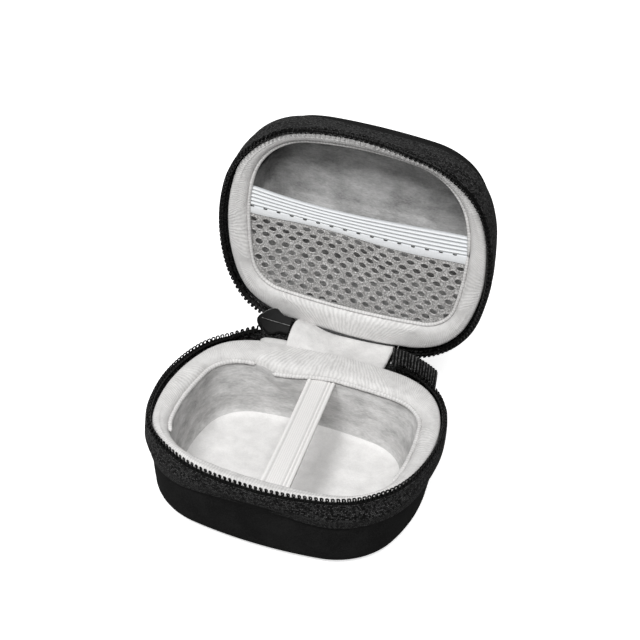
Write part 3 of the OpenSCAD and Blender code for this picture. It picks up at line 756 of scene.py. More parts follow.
def lip_verts(half, seed):
    """Rings of a half's lip between the rim's edge and its opening."""
    lean = np.minimum(along(LEAN[half], ROUND_S), 0) * (np.abs(ROUND_S - 124) < 90)
    rim, inner = outline(RIM, along(LIP_EDGE, ROUND_S) + lean, ROUND), mouth(half, 0.45, ROUND)
    width = np.hypot(*(inner - rim).T)
    inward = (inner - rim) / width[:, None]
    # Where the lip is narrow, both of its round edges are narrow too
    k_out, k_in = np.minimum(1, 0.4 * width / OUT_W), np.minimum(1, 0.55 * width / IN_W)
    rows = [(x * k_out, w) for x, w in LIP_OUT]
    first, last = OUT_W * k_out, width - IN_W * k_in
    rows += [(first + (last - first) * u, TOP_DEPTH - 0.14 * math.sin(math.pi * u) + 0.08 * u)
             for u in LIP_TOP]
    rows += [(width - x * k_in, w) for x, w in LIP_IN]
    verts = np.array([level(rim + inward * x[:, None], w) for x, w in rows])
    # Fine puckers towards the inner edge, where the cloth is gathered
    pucker = 0.5 * smooth_noise(RING_N, 1.7, seed) + 0.5 * smooth_noise(RING_N, 3.1, seed + 1)
    broad = smooth_noise(RING_N, 14, seed + 2)
    share = np.interp(np.arange(len(verts)), [5, 11, 16, len(verts) - 1], [0.0, 0.3, 1.0, 0.6])
    for i, k in enumerate(share):
        verts[i, :, 2] += k * (0.06 * pucker) + 0.1 * broad * min(1, k * 2)
    return verts


for k, half in enumerate(("base", "lid")):
    v = lip_verts(half, 11 + 10 * k)
    lip = add_piece(f"{half}_lip_pad", placed(half, v.reshape(-1, 3)),
                    grid_faces(len(v), RING_N), velvet_mat)
    uv_grid(lip, RING_N, RING_STEP, 1.0)
    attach(lip, half)
    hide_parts(f"{half}_lip", f"{half}_foam")
    print(lip.name, len(lip.data.polygons), "faces")

# %% [markdown]
# ## Hems
# Inside each lip the lining is folded over and sewn, and the fold shows as a soft roll. A
# Curve object with a round bevel would draw it, but the base's roll also sinks under the
# lip where it starts, beside the hinge. So it is swept by code, a ring at a time, with its
# radius and its depth a little uneven.

# %% Hems
HEM_SIDES, HEM_STEP, HEM_DEPTH = 14, 0.7, 3.45


def hem_piece(name, half, t0, t1, drop_at_start, radius, seed):
    """A roll along the cavity's edge from angle t0 to t1, its first end sunk by drop_at_start."""
    t = np.linspace(t0, t1, 1500)
    run = np.concatenate([[0], np.cumsum(np.hypot(*np.diff(mouth(half, 0, t), axis=0).T))])
    s = np.linspace(0, 1, int(run[-1] / HEM_STEP))
    t = np.interp(s * run[-1], run, t)
    wob = np.interp(s, np.linspace(0, 1, 40), np.random.default_rng(seed).uniform(-1, 1, 40))
    sunk = drop_at_start * np.exp(-(s / 0.10) ** 2)
    end = np.clip(np.minimum(s, 1 - s) / 0.012, 0.03, 1) ** 0.5
    a = np.arange(HEM_SIDES) * 2 * np.pi / HEM_SIDES
    rings = []
    for i in range(len(t)):
        r = radius * end[i] * (1 + 0.08 * wob[i])
        d = 0.15 - 0.15 * sunk[i] + r * np.cos(a) + 0.05 * wob[i]
        w = HEM_DEPTH + sunk[i] + r * 1.12 * np.sin(a) + 0.06 * wob[i]
        rings.append(level(mouth(half, d, np.full(HEM_SIDES, t[i])), w))
    closed = abs(t1 - t0) > 359
    verts, faces = sweep(np.array(rings[:-1] if closed else rings), closed=closed)
    piece = add_piece(name, placed(half, verts), faces, velvet_mat)
    count = len(piece.data.vertices) // HEM_SIDES
    layer = piece.data.uv_layers.new(name="UVMap")
    for poly in piece.data.polygons:
        rows = [i // HEM_SIDES for i in poly.vertices]
        far = max(rows) - min(rows) > count / 2
        for li, i, r in zip(poly.loop_indices, poly.vertices, rows):
            layer.data[li].uv = ((r + count if far and r == 0 else r) * 0.6, (i % HEM_SIDES) * 0.3)
    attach(piece, half)
    return piece


hem_piece("base_hem_back", "base", 94.6, -14.0, 1.3, 0.62, 31)
hem_piece("base_hem_left", "base", 96.4, 212.0, 0.5, 0.62, 32)
hem_piece("lid_hem", "lid", 0.0, 360.0, 0.0, 0.52, 33)

# %% [markdown]
# ## Cavities
# A bag of velvet lines each half: straight walls, a rounded floor edge and a flat floor. The
# shell could be given a Solidify modifier to get its inside, but the lining isn't the
# shell's offset, since the foam between them changes in thickness. The bag starts at the
# hem's opening and fades into the even cavity below. The base's walls have a darker copy of
# the velvet, as painted shade, since less light falls on them than on the floor.

# %% Cavities
WALL_RINGS = 12


def cavity_verts(half, seed):
    """Rings of a half's lining, from the hem down to the middle of its floor."""
    floor_w = HEIGHT[half] - COVER_T - FOAM_T - LINING_T
    r, taper = 3.6, 1.0
    rings = [(0.55, 4.2), (0.32, 4.8), (0.1, 5.4)]
    rings += [(0.1 - (taper + 0.1) * u, 5.4 + (floor_w - r - 5.4) * u) for u in (0.2, 0.4, 0.6, 0.8, 1.0)]
    rings += [(-taper - r + r * math.cos(a), floor_w - r + r * math.sin(a))
              for a in np.radians(np.linspace(10, 90, 9))]
    rings += [(d, floor_w) for d in (-6.5, -8.5, -11.0, -13.5, -15.0)]
    verts = []
    for d, w in rings:
        soft = 1 - smooth_step(w, 5.5, 13)
        xy = soft * mouth(half, d, ROUND) + (1 - soft) * outline(CAVITY[half], d, ROUND)
        verts.append(level(xy, w))
    verts = np.array(verts)
    # The lining isn't quite even: slow swells on its walls and floor
    swell, ripple = smooth_noise(RING_N, 18, seed), smooth_noise(RING_N, 7, seed + 5)
    for i in range(2, len(rings)):
        share = min(1, i / 5)
        verts[i, :, :2] *= (1 + (0.0022 * swell + 0.0016 * ripple * (i < WALL_RINGS)) * share)[:, None]
    return verts


for k, half in enumerate(("base", "lid")):
    v = cavity_verts(half, 51 + k)
    faces = grid_faces(len(v), RING_N) + [tuple(range((len(v) - 1) * RING_N, len(v) * RING_N))]
    bag = add_piece(f"{half}_bag", placed(half, v.reshape(-1, 3)), faces,
                    lining_mat if half == "base" else lid_lining_mat)
    bag.data.flip_normals()
    uv_grid(bag, RING_N, RING_STEP, 1.0)
    if half == "base":
        # Painted shade: the wall rings take the darker velvet, the floor the paler one
        bag.data.materials.append(wall_shade_mat)
        for poly in bag.data.polygons:
            poly.material_index = 1 if min(poly.vertices) < WALL_RINGS * RING_N else 0
    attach(bag, half)
    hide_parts(f"{half}_lining")
    print(bag.name, len(bag.data.polygons), "faces")

# %% [markdown]
# ## Zip
# A coil zip is two woven tapes and two coils of nylon thread, each sewn along a tape's free
# edge. The tape is glued round the shell and its edge stands above it. Near the slider both
# sides leave their own half and turn into the plane between the halves, where they join.
# Curve modifiers could carry a tape and a coil round the rim. One function does it here:
# zip_points takes a length, an offset and a depth, and knows where the zip bends.

# %% Zip measures and placing
SLIDER_S = length_at(SLIDER_T)
BEND_NOSE = SLIDER_S + 4.6
BEND_FAR = {"base": SLIDER_S + 13.0, "lid": SLIDER_S + 19.0}
NOSE_AT = {"base": 0.38, "lid": 0.327}
ZIP_END = PATH_L - HINGE_HALF - 0.35
# A bent tape end runs on this far past the slider's nose, towards the hinge
TAPE_ON = {"base": 9.5, "lid": 1.6}


def share_at(half, s):
    """How far a point of the zip has left its own half for the middle plane, 0..1."""
    u = np.clip((BEND_FAR[half] - np.asarray(s, float)) / (BEND_FAR[half] - BEND_NOSE), 0, 1.2)
    share = smooth_step(u * NOSE_AT[half], 0, 1)
    return share if half == "base" else 2 * share


def zip_points(half, s, d, w):
    """Points on a half's zip side at length s, offset d and depth w."""
    s, d, w = np.broadcast_arrays(np.asarray(s, float), d, w)
    d = d + along(LEAN[half], s) * smooth_step(6.5 - w, 0, 4.6)
    d = d + along(GIRTH[half], s) * smooth_step(w, 2, 6)
    w = w - along(RISE[half], s) * smooth_step(w, 5, 9)
    xy = outline(RIM, d, angle_at(s))
    sign = -1 if half == "base" else 1
    closed = np.stack([xy[..., 0], xy[..., 1], BASE_H + sign * w], -1)
    k = share_at(half, s) * smooth_step(6.2 - w, 0, 3.0)
    own = 0.0 if half == "base" else OPEN
    return turned(closed, own + k * (OPEN / 2 - own))


print("zip from", round(BEND_NOSE, 1), "to", round(ZIP_END, 1), "mm")

# %% Tapes
TAPE_STEP = 0.75
TAPE_PROFILE = [(0.55, 9.45), (0.75, 9.2), (0.98, 8.2), (1.35, 7.0), (1.8, 5.9), (2.22, 5.0), (2.3, 4.0),
                (2.3, 3.0), (2.3, 2.2), (2.28, 1.6), (2.12, 1.34), (1.88, 1.34), (1.74, 1.6),
                (1.7, 2.2), (1.7, 3.4), (1.66, 4.9), (0.6, 4.95), (-0.9, 4.98)]


def tape_piece(name, half, start, stop, seed):
    """A stretch of tape, its free edge a little uneven, its lower edge on the shell's waist."""
    s = np.linspace(start, stop, max(4, int((stop - start) / TAPE_STEP)))
    edge = np.interp(s, np.linspace(0, PATH_L, 60), np.random.default_rng(seed).uniform(-1, 1, 60))
    rings = []
    for d, w in TAPE_PROFILE:
        free = np.clip((5.5 - w) / 4.3, 0, 1)
        low = WAIST[half] * np.clip((w - 5.0) / 4.3, 0, 1) * (1 if d > -0.5 else 0)
        rings.append(zip_points(half, s, d + low + 0.08 * edge * free, w + 0.12 * edge * free * (w < 2)))
    rings = np.array(rings)
    piece = add_piece(name, rings.reshape(-1, 3),
                      grid_faces(len(rings), len(s), closed_n=False), tape_mat)
    across = np.concatenate([[0], np.cumsum(np.hypot(*np.diff(np.array(TAPE_PROFILE), axis=0).T))])
    uv_grid(piece, len(s), s[1] - s[0], across, closed_n=False)
    return piece


def bend_end(piece, half):
    """Bakes a bent zip end's transform into its mesh."""
    far, nose = (zip_points(half, s, 1.0, 1.5) * MM for s in (BEND_FAR[half], BEND_NOSE))
    if half == "base":
        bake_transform(piece)
    else:
        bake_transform(piece)


for k, half in enumerate(("base", "lid")):
    tape = tape_piece(f"{half}_zip_tape", half, BEND_FAR[half], ZIP_END, 5 + k)
    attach(tape, half)
    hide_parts(f"{half}_tape")
    bent = tape_piece(f"{half}_tape_end", half, BEND_NOSE - TAPE_ON[half], BEND_FAR[half], 5 + k)
    bend_end(bent, half)
    print(tape.name, len(tape.data.polygons), "faces")

# %% [markdown]
# ### Tape beside the hinge
# Between the zip's bent ends and the webbing the tape lies flat on the shell. The open case
# hides this stretch, and the closed one shows it. A longer bent end could cover it, but it
# would stretch when the lid turns. A short band on each half moves with its own shell.

# %% Tape as far as the hinge webbing
BAND_PROFILE = [(1.05, 9.3), (1.3, 7.0), (1.45, 5.0), (1.45, 2.4), (1.3, 2.05), (0.4, 2.0)]
BAND_STOP = {"base": 17.6, "lid": 26.6}
for half in ("base", "lid"):
    s = np.linspace(HINGE_HALF - 4.6, BAND_STOP[half], 28)
    # Under the webbing the tape lies lower
    sunk = 0.7 * smooth_step(HINGE_HALF - s, 0.2, 1.6)
    rings = np.array([level(outline(RIM, d - sunk + WAIST[half] * max(0, w - 5.0) / 4.3, angle_at(s)), w)
                      for d, w in BAND_PROFILE])
    band = add_piece(f"{half}_tape_hinge", placed(half, rings).reshape(-1, 3),
                     grid_faces(len(rings), len(s), closed_n=False), tape_mat)
    uv_grid(band, len(s), s[1] - s[0], 2.0, closed_n=False)
    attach(band, half)
    print(band.name, len(band.data.polygons), "faces")

# %% [markdown]
# ## Coils
# The teeth are one nylon thread wound round a filler cord. Each turn is flattened, and its
# head at the mating edge is pressed into a wide loop on a narrow neck, which grips the
# other side. An Array of one tooth on a curve would look like a moulded zip. So the thread
# is drawn as one line with 24 points a turn, and the two sides are half a pitch apart, so
# that they mesh when the lid is closed.

# %% Coils
COIL_R, END_R, CORE_R = 0.225, 0.28, 0.62
COIL_STEPS, COIL_D, NECK = 24, 1.3, 0.13
COIL_S = BEND_NOSE - 0.6
PHASE = {"base": 0.0, "lid": 0.5}
TEETH = int((ZIP_END - BEND_NOSE) / PITCH) - 1
END_TEETH = {half: int((BEND_FAR[half] - BEND_NOSE) / PITCH) for half in BEND_FAR}


def coil_line(half, first, last):
    """The wound thread from one tooth to another, a flattened turn for each."""
    turn = first + np.arange((last - first) * COIL_STEPS + 1) / COIL_STEPS
    a = (2 * np.pi * turn + np.pi) % (2 * np.pi) - np.pi
    head = np.abs(a) <= np.pi / 2
    # Below its head the thread moves on to the next turn
    past = np.where(a > 0, a - np.pi / 2, a + np.pi / 2) * (PITCH - 2 * NECK) / np.pi + np.sign(a) * NECK
    bulge = 0.3 if first else 0.14
    local = np.where(head, NECK * a / (np.pi / 2) + bulge * np.sin(2 * a), past)
    s = COIL_S + PITCH * (np.round(turn) + PHASE[half]) + local
    w = 1.2 - 1.45 * np.sign(np.cos(a)) * np.abs(np.cos(a)) ** 0.5
    d = COIL_D + np.sin(a) * np.where(head, 0.12 + 0.3 * (1 - np.cos(a)), 0.42)
    return zip_points(half, s, d, w)


def coil_core(half, first, last):
    """The filler cord inside the turns, well below their heads."""
    s = COIL_S + PITCH * (np.arange(first, last + 0.01, 0.5) + PHASE[half])
    return zip_points(half, s, COIL_D, 1.42 if first else 1.15)


for half in ("base", "lid"):
    spans = {f"{half}_coil_end": (0, END_TEETH[half]), f"{half}_zip_coil": (END_TEETH[half], TEETH)}
    for name, (first, last) in spans.items():
        verts, faces = merged([tube(coil_line(half, first, last), COIL_R if first else END_R, 8),
                               tube(coil_core(half, first, last), CORE_R, 8)])
        coil = add_piece(name, verts, faces, coil_mat)
        if name.endswith("end"):
            bend_end(coil, half)
        else:
            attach(coil, half)
            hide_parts(f"{half}_coil")
        print(coil.name, len(coil.data.polygons), "faces")

# %% [markdown]
# ## Strap
# An elastic crosses the base and holds down what is stowed there. It is flat and finely
# ribbed, with a raised cord at both edges. A plane with a Solidify modifier has the form, and the ribs
# could be bump alone, but the cords throw small shadows, so they are in the mesh. The
# strap sags a little and runs askew, as it does in the photograph.

# %% Strap
STRAP_W, STRAP_BACK_X, STRAP_SKEW, STRAP_SAG = 8.3, -0.4, 4.0, 0.35
STRAP_Z = BASE_H - LIP_DROP - LIP_ROUND - 0.3


def strap_piece():
    """The strap: its ribs and cords on top, and flat below."""
    across, run = np.linspace(-0.5, 0.5, 61), np.linspace(0, 1, 80)
    y_back, y_front = (sign * (CAVITY["base"][1] - 0.25) + CAVITY["base"][5] for sign in (1, -1))
    edge = np.abs(across) * STRAP_W
    cord = np.exp(-((edge - STRAP_W / 2 + 0.55) / 0.42) ** 2)
    inner = np.exp(-((edge - STRAP_W / 2 + 1.75) / 0.22) ** 2)
    ribs = 0.03 * np.cos(across * STRAP_W * 2 * np.pi / 0.45)
    profile = 0.42 * cord + 0.26 * inner * (across > 0) + ribs
    top, bottom = [], []
    for u in run:
        narrow = 1 - 0.02 * math.sin(math.pi * u)
        x = STRAP_BACK_X + STRAP_SKEW * u + across * STRAP_W * narrow
        y = y_back + (y_front - y_back) * u + 0 * across
        z = STRAP_Z - STRAP_SAG * math.sin(math.pi * u)
        top.append(np.stack([x, y, z + 1.0 + profile], -1))
        bottom.append(np.stack([x, y, z + 0.15 + 0 * x], -1))
    verts, faces = slab(top, bottom)
    piece = add_piece("strap_band", verts, faces, strap_mat)
    # The second number of the UV paints shade into the grooves and a highlight onto the cords
    side = edge - STRAP_W / 2
    groove_shadow = np.exp(-((side + 1.2) / 0.2) ** 2) + np.exp(-((side + 2.3) / 0.2) ** 2) * (across > 0)
    shade = 0.3 + 0.05 * np.cos(across * STRAP_W * 2 * np.pi / 0.6) + 0.2 * cord + 0.14 * inner * (across > 0)
    rib = np.clip(shade - 0.2 * groove_shadow, 0.02, 0.5)
    rib = np.concatenate([rib, rib[::-1]])
    uv_points(piece, np.repeat(run * 50, len(rib)), np.tile(rib, len(run)))
    return piece


strap = strap_piece()
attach(strap, "base")
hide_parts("strap")
print("strap:", len(strap.data.polygons), "faces")

# %% [markdown]
# ## Pocket elastic
# The pocket's mouth is a ribbed elastic, sewn on by a flat hem with a row of stitches, drawn
# dark as painted shade of the pits that they pull into the cloth.
# The net pulls its middle down, so its edges are bowed lines and not straight ones. Each of
# the three lines is a polynomial through measured points, which is smoother than a curve
# drawn point by point, and the ribs are rows of the mesh between them.

# %% Pocket elastic
NET_W = 4.4
HALF_A = MOUTH["lid"][0][0] - 0.2
# From the plane in which the points were measured to the band's own, nearer the eye
SLANT_X, SLANT_Y = 0.32, -0.72


def curve(knots, degree):
    """A smooth line y(x) near some points measured in the rim's plane, which lies behind the band."""
    x, y = np.array(knots).T
    return np.poly1d(np.polyfit(x + SLANT_X, y + SLANT_Y, degree))


# The band's top edge, its row of stitches and its lower edge, measured from the hinge line
BAND_TOP = curve([(-33, -10.0), (-24, -8.9), (-16, -8.2), (-8, -8.0), (0, -8.0), (7, -8.15), (17, -8.7),
                  (25, -9.1), (32, -9.4)], 4)
BAND_STITCH = curve([(-33, -3.5), (-25, -3.15), (-16.5, -2.95), (-8.4, -2.75), (0, -2.35), (4, -2.3),
                     (12.5, -2.25), (21, -2.45), (29, -2.8)], 4)
BAND_LOW = curve([(-33, -0.75), (-24, -0.85), (-16, -0.9), (-8, -0.85), (-4, -0.75), (0, -0.3), (7, 0.35),
                  (17, 0.4), (25, 0.2), (32, -0.2)], 5)
BAND_RIBS = 5


def elastic_piece():
    """The band: ribs from its top edge to the stitches, and a flat hem below them."""
    x = np.linspace(-HALF_A, HALF_A, 121)
    rows = np.concatenate([np.linspace(0, BAND_RIBS, 51), np.linspace(BAND_RIBS + 0.08, BAND_RIBS + 1, 11)])
    front, back = [], []
    for r in rows:
        hem = max(0.0, r - BAND_RIBS)
        y = BAND_TOP(x) + (BAND_STITCH(x) - BAND_TOP(x)) * min(r, BAND_RIBS) / BAND_RIBS
        y = y + (BAND_LOW(x) - BAND_STITCH(x)) * hem
        if hem:
            height = 0.62 + 0.08 * math.sin(math.pi * hem) - 0.3 * max(0, hem - 0.8)
        else:
            height = 0.45 + 0.36 * (0.5 - 0.5 * math.cos(2 * math.pi * r))
        front.append(np.stack([x, y, np.full_like(x, NET_W - 0.1 - height)], -1))
        back.append(np.stack([x, y, np.full_like(x, NET_W - 0.12)], -1))
    verts, faces = slab(front, back)
    piece = add_piece("pocket_band", placed("lid", verts), faces, elastic_mat)
    # The UV's second number counts the ribs, so the rib pattern paints shade in the grooves and light on the
    # crests
    phase = np.where(rows <= BAND_RIBS, rows, BAND_RIBS + 0.36)
    uv_points(piece, np.tile(np.concatenate([x, x[::-1]]), len(rows)), np.repeat(phase, 2 * len(x)))
    return piece


band = elastic_piece()
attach(band, "lid")
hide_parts("pocket_elastic")
print("band:", len(band.data.polygons), "faces")

# %% Stitches along the elastic's hem
STITCH_FROM, STITCH_STEP, STITCH_R = -32.7, 4.17, 0.17
stitches = []
# The stitches are real, and their dark colour is painted shade of their pits
for x in np.arange(STITCH_FROM, 31, STITCH_STEP):
    line = np.array([[x + 0.5 * math.cos(a), BAND_STITCH(x) + 0.12, NET_W - 0.66 - 0.16 * math.sin(a)]
                     for a in np.linspace(math.pi, 0, 7)])
    stitches.append(tube(placed("lid", line), STITCH_R, 6))
v, f = merged(stitches)
stitch = add_piece("hem_stitches", v, f, stitch_shade_mat)
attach(stitch, "lid")
print(len(stitches), "stitches")

# %% [markdown]
# ## Net
# The pocket is a warp-knitted net with rows of small oval holes, each row half a step from
# the last. An image with alpha would be quick, but it has no edges to catch the light. A
# Boolean for every hole is slow and leaves bad faces. Instead the points of every hole's
# rim, of the net's edge and of a filling grid are joined into triangles, and the triangles
# inside the holes are left out. The threads swell round the holes because the points next
# to a rim are raised.

# %% The net's lattice
# Heights of some rows of holes along x, and the x of some columns: the net hangs in a
# slight fold, so its rows sag and bunch a little right of the middle
ROW_X = [-31, -20, -8, 0, 8, 17, 30]
ROW_Y = {0: [1.4, 1.1, 0.2, 1.0, 3.4, 3.7, 4.0], 2: [6.0, 5.0, 4.2, 5.2, 7.6, 8.4, 9.2],
         5: [14.6, 12.7, 12.45, 13.1, 14.4, 15.6, 17.0], 8: [23.0, 21.2, 21.5, 22.1, 22.6, 23.1, 24.6]}
COLUMN_X = [(-8, -32.8), (-3, -11.4), (2, 8.3), (7, 29.5)]
COLUMN_STEP, ROW_STEP = 4.2, 2.9


def lattice(r, k):
    """The net's point at row r and column k."""
    x = float(np.interp(k, *zip(*COLUMN_X)))
    if k < COLUMN_X[0][0] or k > COLUMN_X[-1][0]:
        x += COLUMN_STEP * (k - np.clip(k, COLUMN_X[0][0], COLUMN_X[-1][0]))
    known = sorted(ROW_Y)
    heights = [float(np.interp(x, ROW_X, ROW_Y[i])) for i in known]
    y = float(np.interp(r, known, heights))
    if r > known[-1]:
        y += (r - known[-1]) * ROW_STEP
    if r < 0:
        y += r * (2.3 if x < 4 else 2.0)
    return np.array([x + SLANT_X, y + SLANT_Y])


def inside_outline(p, margin):
    """Whether points lie inside the lid's cavity by a margin."""
    edge = mouth("lid", -margin, np.linspace(0, 359, 360))
    x, y = edge[:, 0], edge[:, 1]
    x2, y2 = np.roll(x, -1), np.roll(y, -1)
    px, py = p[:, :1], p[:, 1:2]
    cross = ((y > py) != (y2 > py)) & (px < (x2 - x) * (py - y) / (y2 - y + 1e-12) + x)
    return cross.sum(1) % 2 == 1


print("middle of the net's row 5:", lattice(5, 0).round(1))

# %% Holes of the net
# A hole's half width and half height, as shares of a step
HOLE_WIDE, HOLE_HIGH = 0.27, 0.35


def net_holes():
    """Middle, half width and half height of each hole, as vectors along the lattice."""
    centres, across, upward = [], [], []
    for row in range(-1, 10):
        for k in range(-9, 10):
            at = k + (row % 2) / 2
            c = lattice(row, at)
            if row < 0 and c[0] < 5:
                continue
            centres.append(c)
            across.append((lattice(row, at + 0.5) - lattice(row, at - 0.5)) * HOLE_WIDE)
            upward.append((lattice(row + 0.5, at) - lattice(row - 0.5, at)) * HOLE_HIGH)
    centres, across, upward = np.array(centres), np.array(across), np.array(upward)
    ok = inside_outline(centres, 0.2) & (centres[:, 1] > BAND_LOW(centres[:, 0]) + 0.3)
    return centres[ok], across[ok], upward[ok]


HOLE_AT, HOLE_ACROSS, HOLE_UP = net_holes()
print(len(HOLE_AT), "holes in the net")

# %% Points of the net
HOLE_SIDES, FILL_STEP = 14, 0.9


def hole_distance(p):
    """For each point, its distance from the nearest hole's middle, in hole radii."""
    rel = p[:, None, :] - HOLE_AT[None]
    det = HOLE_ACROSS[:, 0] * HOLE_UP[:, 1] - HOLE_ACROSS[:, 1] * HOLE_UP[:, 0]
    u = (rel[..., 0] * HOLE_UP[:, 1] - rel[..., 1] * HOLE_UP[:, 0]) / det
    v = (rel[..., 1] * HOLE_ACROSS[:, 0] - rel[..., 0] * HOLE_ACROSS[:, 1]) / det
    return np.hypot(u, v).min(1)


def net_points():
    """Points of the holes' rims, of the net's edge, of its stitched line and of the filling grid."""
    a = np.arange(HOLE_SIDES) * 2 * np.pi / HOLE_SIDES
    rims = []
    for scale in (1.0, 1.2, 1.42):
        for c, e, f in zip(HOLE_AT, HOLE_ACROSS, HOLE_UP):
            rims.append(c + scale * (np.cos(a)[:, None] * e + np.sin(a)[:, None] * f))
    rims = np.concatenate(rims)
    rims = rims[inside_outline(rims, 0.0) & (rims[:, 1] > BAND_STITCH(rims[:, 0]) + 0.2)]
    rims = rims[hole_distance(rims) > 0.99]
    edge = mouth("lid", -0.02, ROUND[::3])
    edge = edge[edge[:, 1] > BAND_STITCH(edge[:, 0])]
    xs = np.linspace(-33.3, 33.3, 70)
    low = np.column_stack([xs, BAND_STITCH(xs)])
    gx, gy = np.meshgrid(np.arange(-33, 33.1, FILL_STEP), np.arange(-4, 24.6, FILL_STEP))
    fill = np.column_stack([gx.ravel(), gy.ravel()])
    fill = fill[inside_outline(fill, 0.4) & (fill[:, 1] > BAND_STITCH(fill[:, 0]) + 0.4)]
    return np.concatenate([rims, edge, low, fill[hole_distance(fill) > 1.6]])


NET_POINTS = net_points()
print(len(NET_POINTS), "points for the net")

# %% Net


def net_piece():
    """The triangles outside the holes, in two layers with walls between them."""
    out = delaunay_2d_cdt([Vector(q) for q in NET_POINTS], [], [], 0, 1e-4)
    co, tris = np.array([tuple(q) for q in out[0]]), np.array(out[2])
    mid = co[tris].mean(1)
    above = mid[:, 1] > BAND_STITCH(mid[:, 0]) - 0.05
    tris = tris[(hole_distance(mid) > 0.94) & inside_outline(mid, -0.05) & above]
    # The net swells a little, folds right of the middle, and its threads round over
    r = np.hypot(co[:, 0] / 33, (co[:, 1] - 9) / 15)
    clear = smooth_step(co[:, 1] - BAND_LOW(co[:, 0]), 0.0, 5.0)
    bulge = 0.4 * np.clip(1 - r * r, 0, 1) * clear
    fold = 0.35 * np.exp(-((co[:, 0] - 1.5 - 0.6 * co[:, 1]) / 2.0) ** 2) * clear
    fold = fold * smooth_step(co[:, 1], 16, 4)
    dist = hole_distance(co)
    roll = 0.16 * np.exp(-((dist - 1.2) / 0.17) ** 2) - 0.1 * (dist < 1.1)
    top = np.column_stack([co, NET_W - 0.4 - bulge - roll + fold])
    bottom = np.column_stack([co, NET_W - 0.15 - bulge + fold])
    n = len(co)
    faces = [tuple(t) for t in tris] + [tuple(reversed([i + n for i in t])) for t in tris]
    # Walls close the two layers where an edge belongs to one triangle alone
    edges = set()
    for t in tris:
        edges.update(((t[0], t[1]), (t[1], t[2]), (t[2], t[0])))
    faces += [(j, i, i + n, j + n) for i, j in edges if (j, i) not in edges]
    return add_piece("pocket_mesh", placed("lid", np.concatenate([top, bottom])), faces, net_mat)


net = net_piece()
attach(net, "lid")
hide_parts("pocket_net")
print("net:", len(net.data.polygons), "faces")

# %% [markdown]
# ## Hinge cloth
# Inside the hinge a strip of velvet bridges the two lips. It humps up at the left, over the
# zip's joined tail, and dips at the right. It could be a subdivided plane moved by hand. A
# dark cord along its lid end is a painted shadow of the gap under the lid's lip, and a little
# of the lip's velvet is drawn out under the slider.

# %% Hinge velvet
STRIP_LEFT, STRIP_T, HUMP, DIP = -15.3, 0.8, 3.9, 0.55


def back_y(d, x):
    """y of the back of the rim's outline, offset d, at x."""
    r = RIM[3] + d
    return RIM[1] - RIM[3] + math.sqrt(r * r - x * x)


def hinge_cloth():
    """The velvet strip, its two ends on their own half and its top humped or dipped."""
    xs, us = np.linspace(STRIP_LEFT, HINGE_HALF - 0.1, 90), np.linspace(0, 1, 30)
    ripple = np.random.default_rng(61).uniform(-1, 1, (12, 6))
    top, bottom = [], []
    for i, x in enumerate(xs):
        base_end = placed("base", [x, back_y(-2.4, x), 1.46])
        lid_end = placed("lid", [x, back_y(-0.5, x), 2.6])
        over = 1 - float(smooth_step(x, -13.5, -1.0))
        side = min(1.0, (x - xs[0]) / 0.7, (xs[-1] - x) / 0.7)
        edge = 0.5 * (1 - math.sqrt(max(0, 1 - (1 - side) ** 2)))
        row = []
        for u in us:
            p = base_end * (1 - u) + lid_end * u
            soft = np.interp(u, np.linspace(0, 1, 6), [np.interp(i / 89, np.linspace(0, 1, 12), c)
                                                       for c in ripple.T])
            bow = math.sin(math.pi * u)
            lift = over * HUMP * bow ** 0.8 + (1 - over) * (-DIP * bow)
            p = p + np.array([0, 0, lift + 0.12 * soft * bow])
            row.append(p - np.array([0, 0, edge]))
        row = np.array(row)
        top.append(row)
        bottom.append(row + np.array([0, 0, edge - STRIP_T]))
    verts, faces = slab(top, bottom)
    piece = add_piece("hinge_velvet", verts, faces, hinge_mat)
    uv_grid(piece, 2 * len(us), 0.5, 0.35)
    return piece


strip = hinge_cloth()
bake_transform(strip)
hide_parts("hinge_strip")
print("hinge strip:", len(strip.data.polygons), "faces")

# %% Painted shadow along the strip's lid end, and the velvet under the slider
# A dark cord in the gap under the lid's lip, as a painted shadow
GAP_SHADOW_R = 0.36
xs = np.linspace(-16.5, HINGE_HALF, 60)
over = smooth_step(-xs, -2, 8)
gap_shadow_y = [back_y(-0.78 - 0.8 * k, x) for k, x in zip(over, xs)]
v, f = tube(placed("lid", np.column_stack([xs, gap_shadow_y, 1.72 - 0.75 * over])), GAP_SHADOW_R, 8)
gap_shadow = add_piece("hinge_gap_shadow", v, f, gap_shadow_mat)
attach(gap_shadow, "lid")
# The seat's profile: offset and depth
SEAT_PROFILE = [(-2.6, 1.46), (-1.6, 1.38), (-0.6, 1.3), (0.2, 1.34), (0.55, 1.6), (0.5, 2.3), (-2.6, 2.6)]


def slider_seat():
    """The lip's velvet drawn out to the slider's lower edge."""
    t = np.linspace(94.5, 112.0, 40)
    end = np.clip(np.minimum(t - t[0], t[-1] - t) / 3.5, 0.02, 1) ** 0.5
    rings = np.array([level(outline(RIM, d, t), 2.6 - (2.6 - w) * end) for d, w in SEAT_PROFILE])
    rings = rings.transpose(1, 0, 2)
    verts, faces = sweep(rings)
    piece = add_piece("slider_seat", placed("base", verts), faces, hinge_mat)
    uv_grid(piece, rings.shape[1], 0.5, 0.4)
    return piece


seat = slider_seat()
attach(seat, "base")
print("seam and seat:", len(gap_shadow.data.polygons), len(seat.data.polygons), "faces")

# %% [markdown]
# ## Webbing
# Behind the case a band of webbing is the real hinge: glued to both shells, it bends round
# in a loop between them. A short tab of the same kind is folded over the zip's closed end.
# Both are hidden or half hidden in the photograph. The band is a line in the side view,
# given a width and ribs, which is how a Curve object with a flat bevel would be built too.

# %% Hinge webbing behind the case
WEBBING_T = 0.9


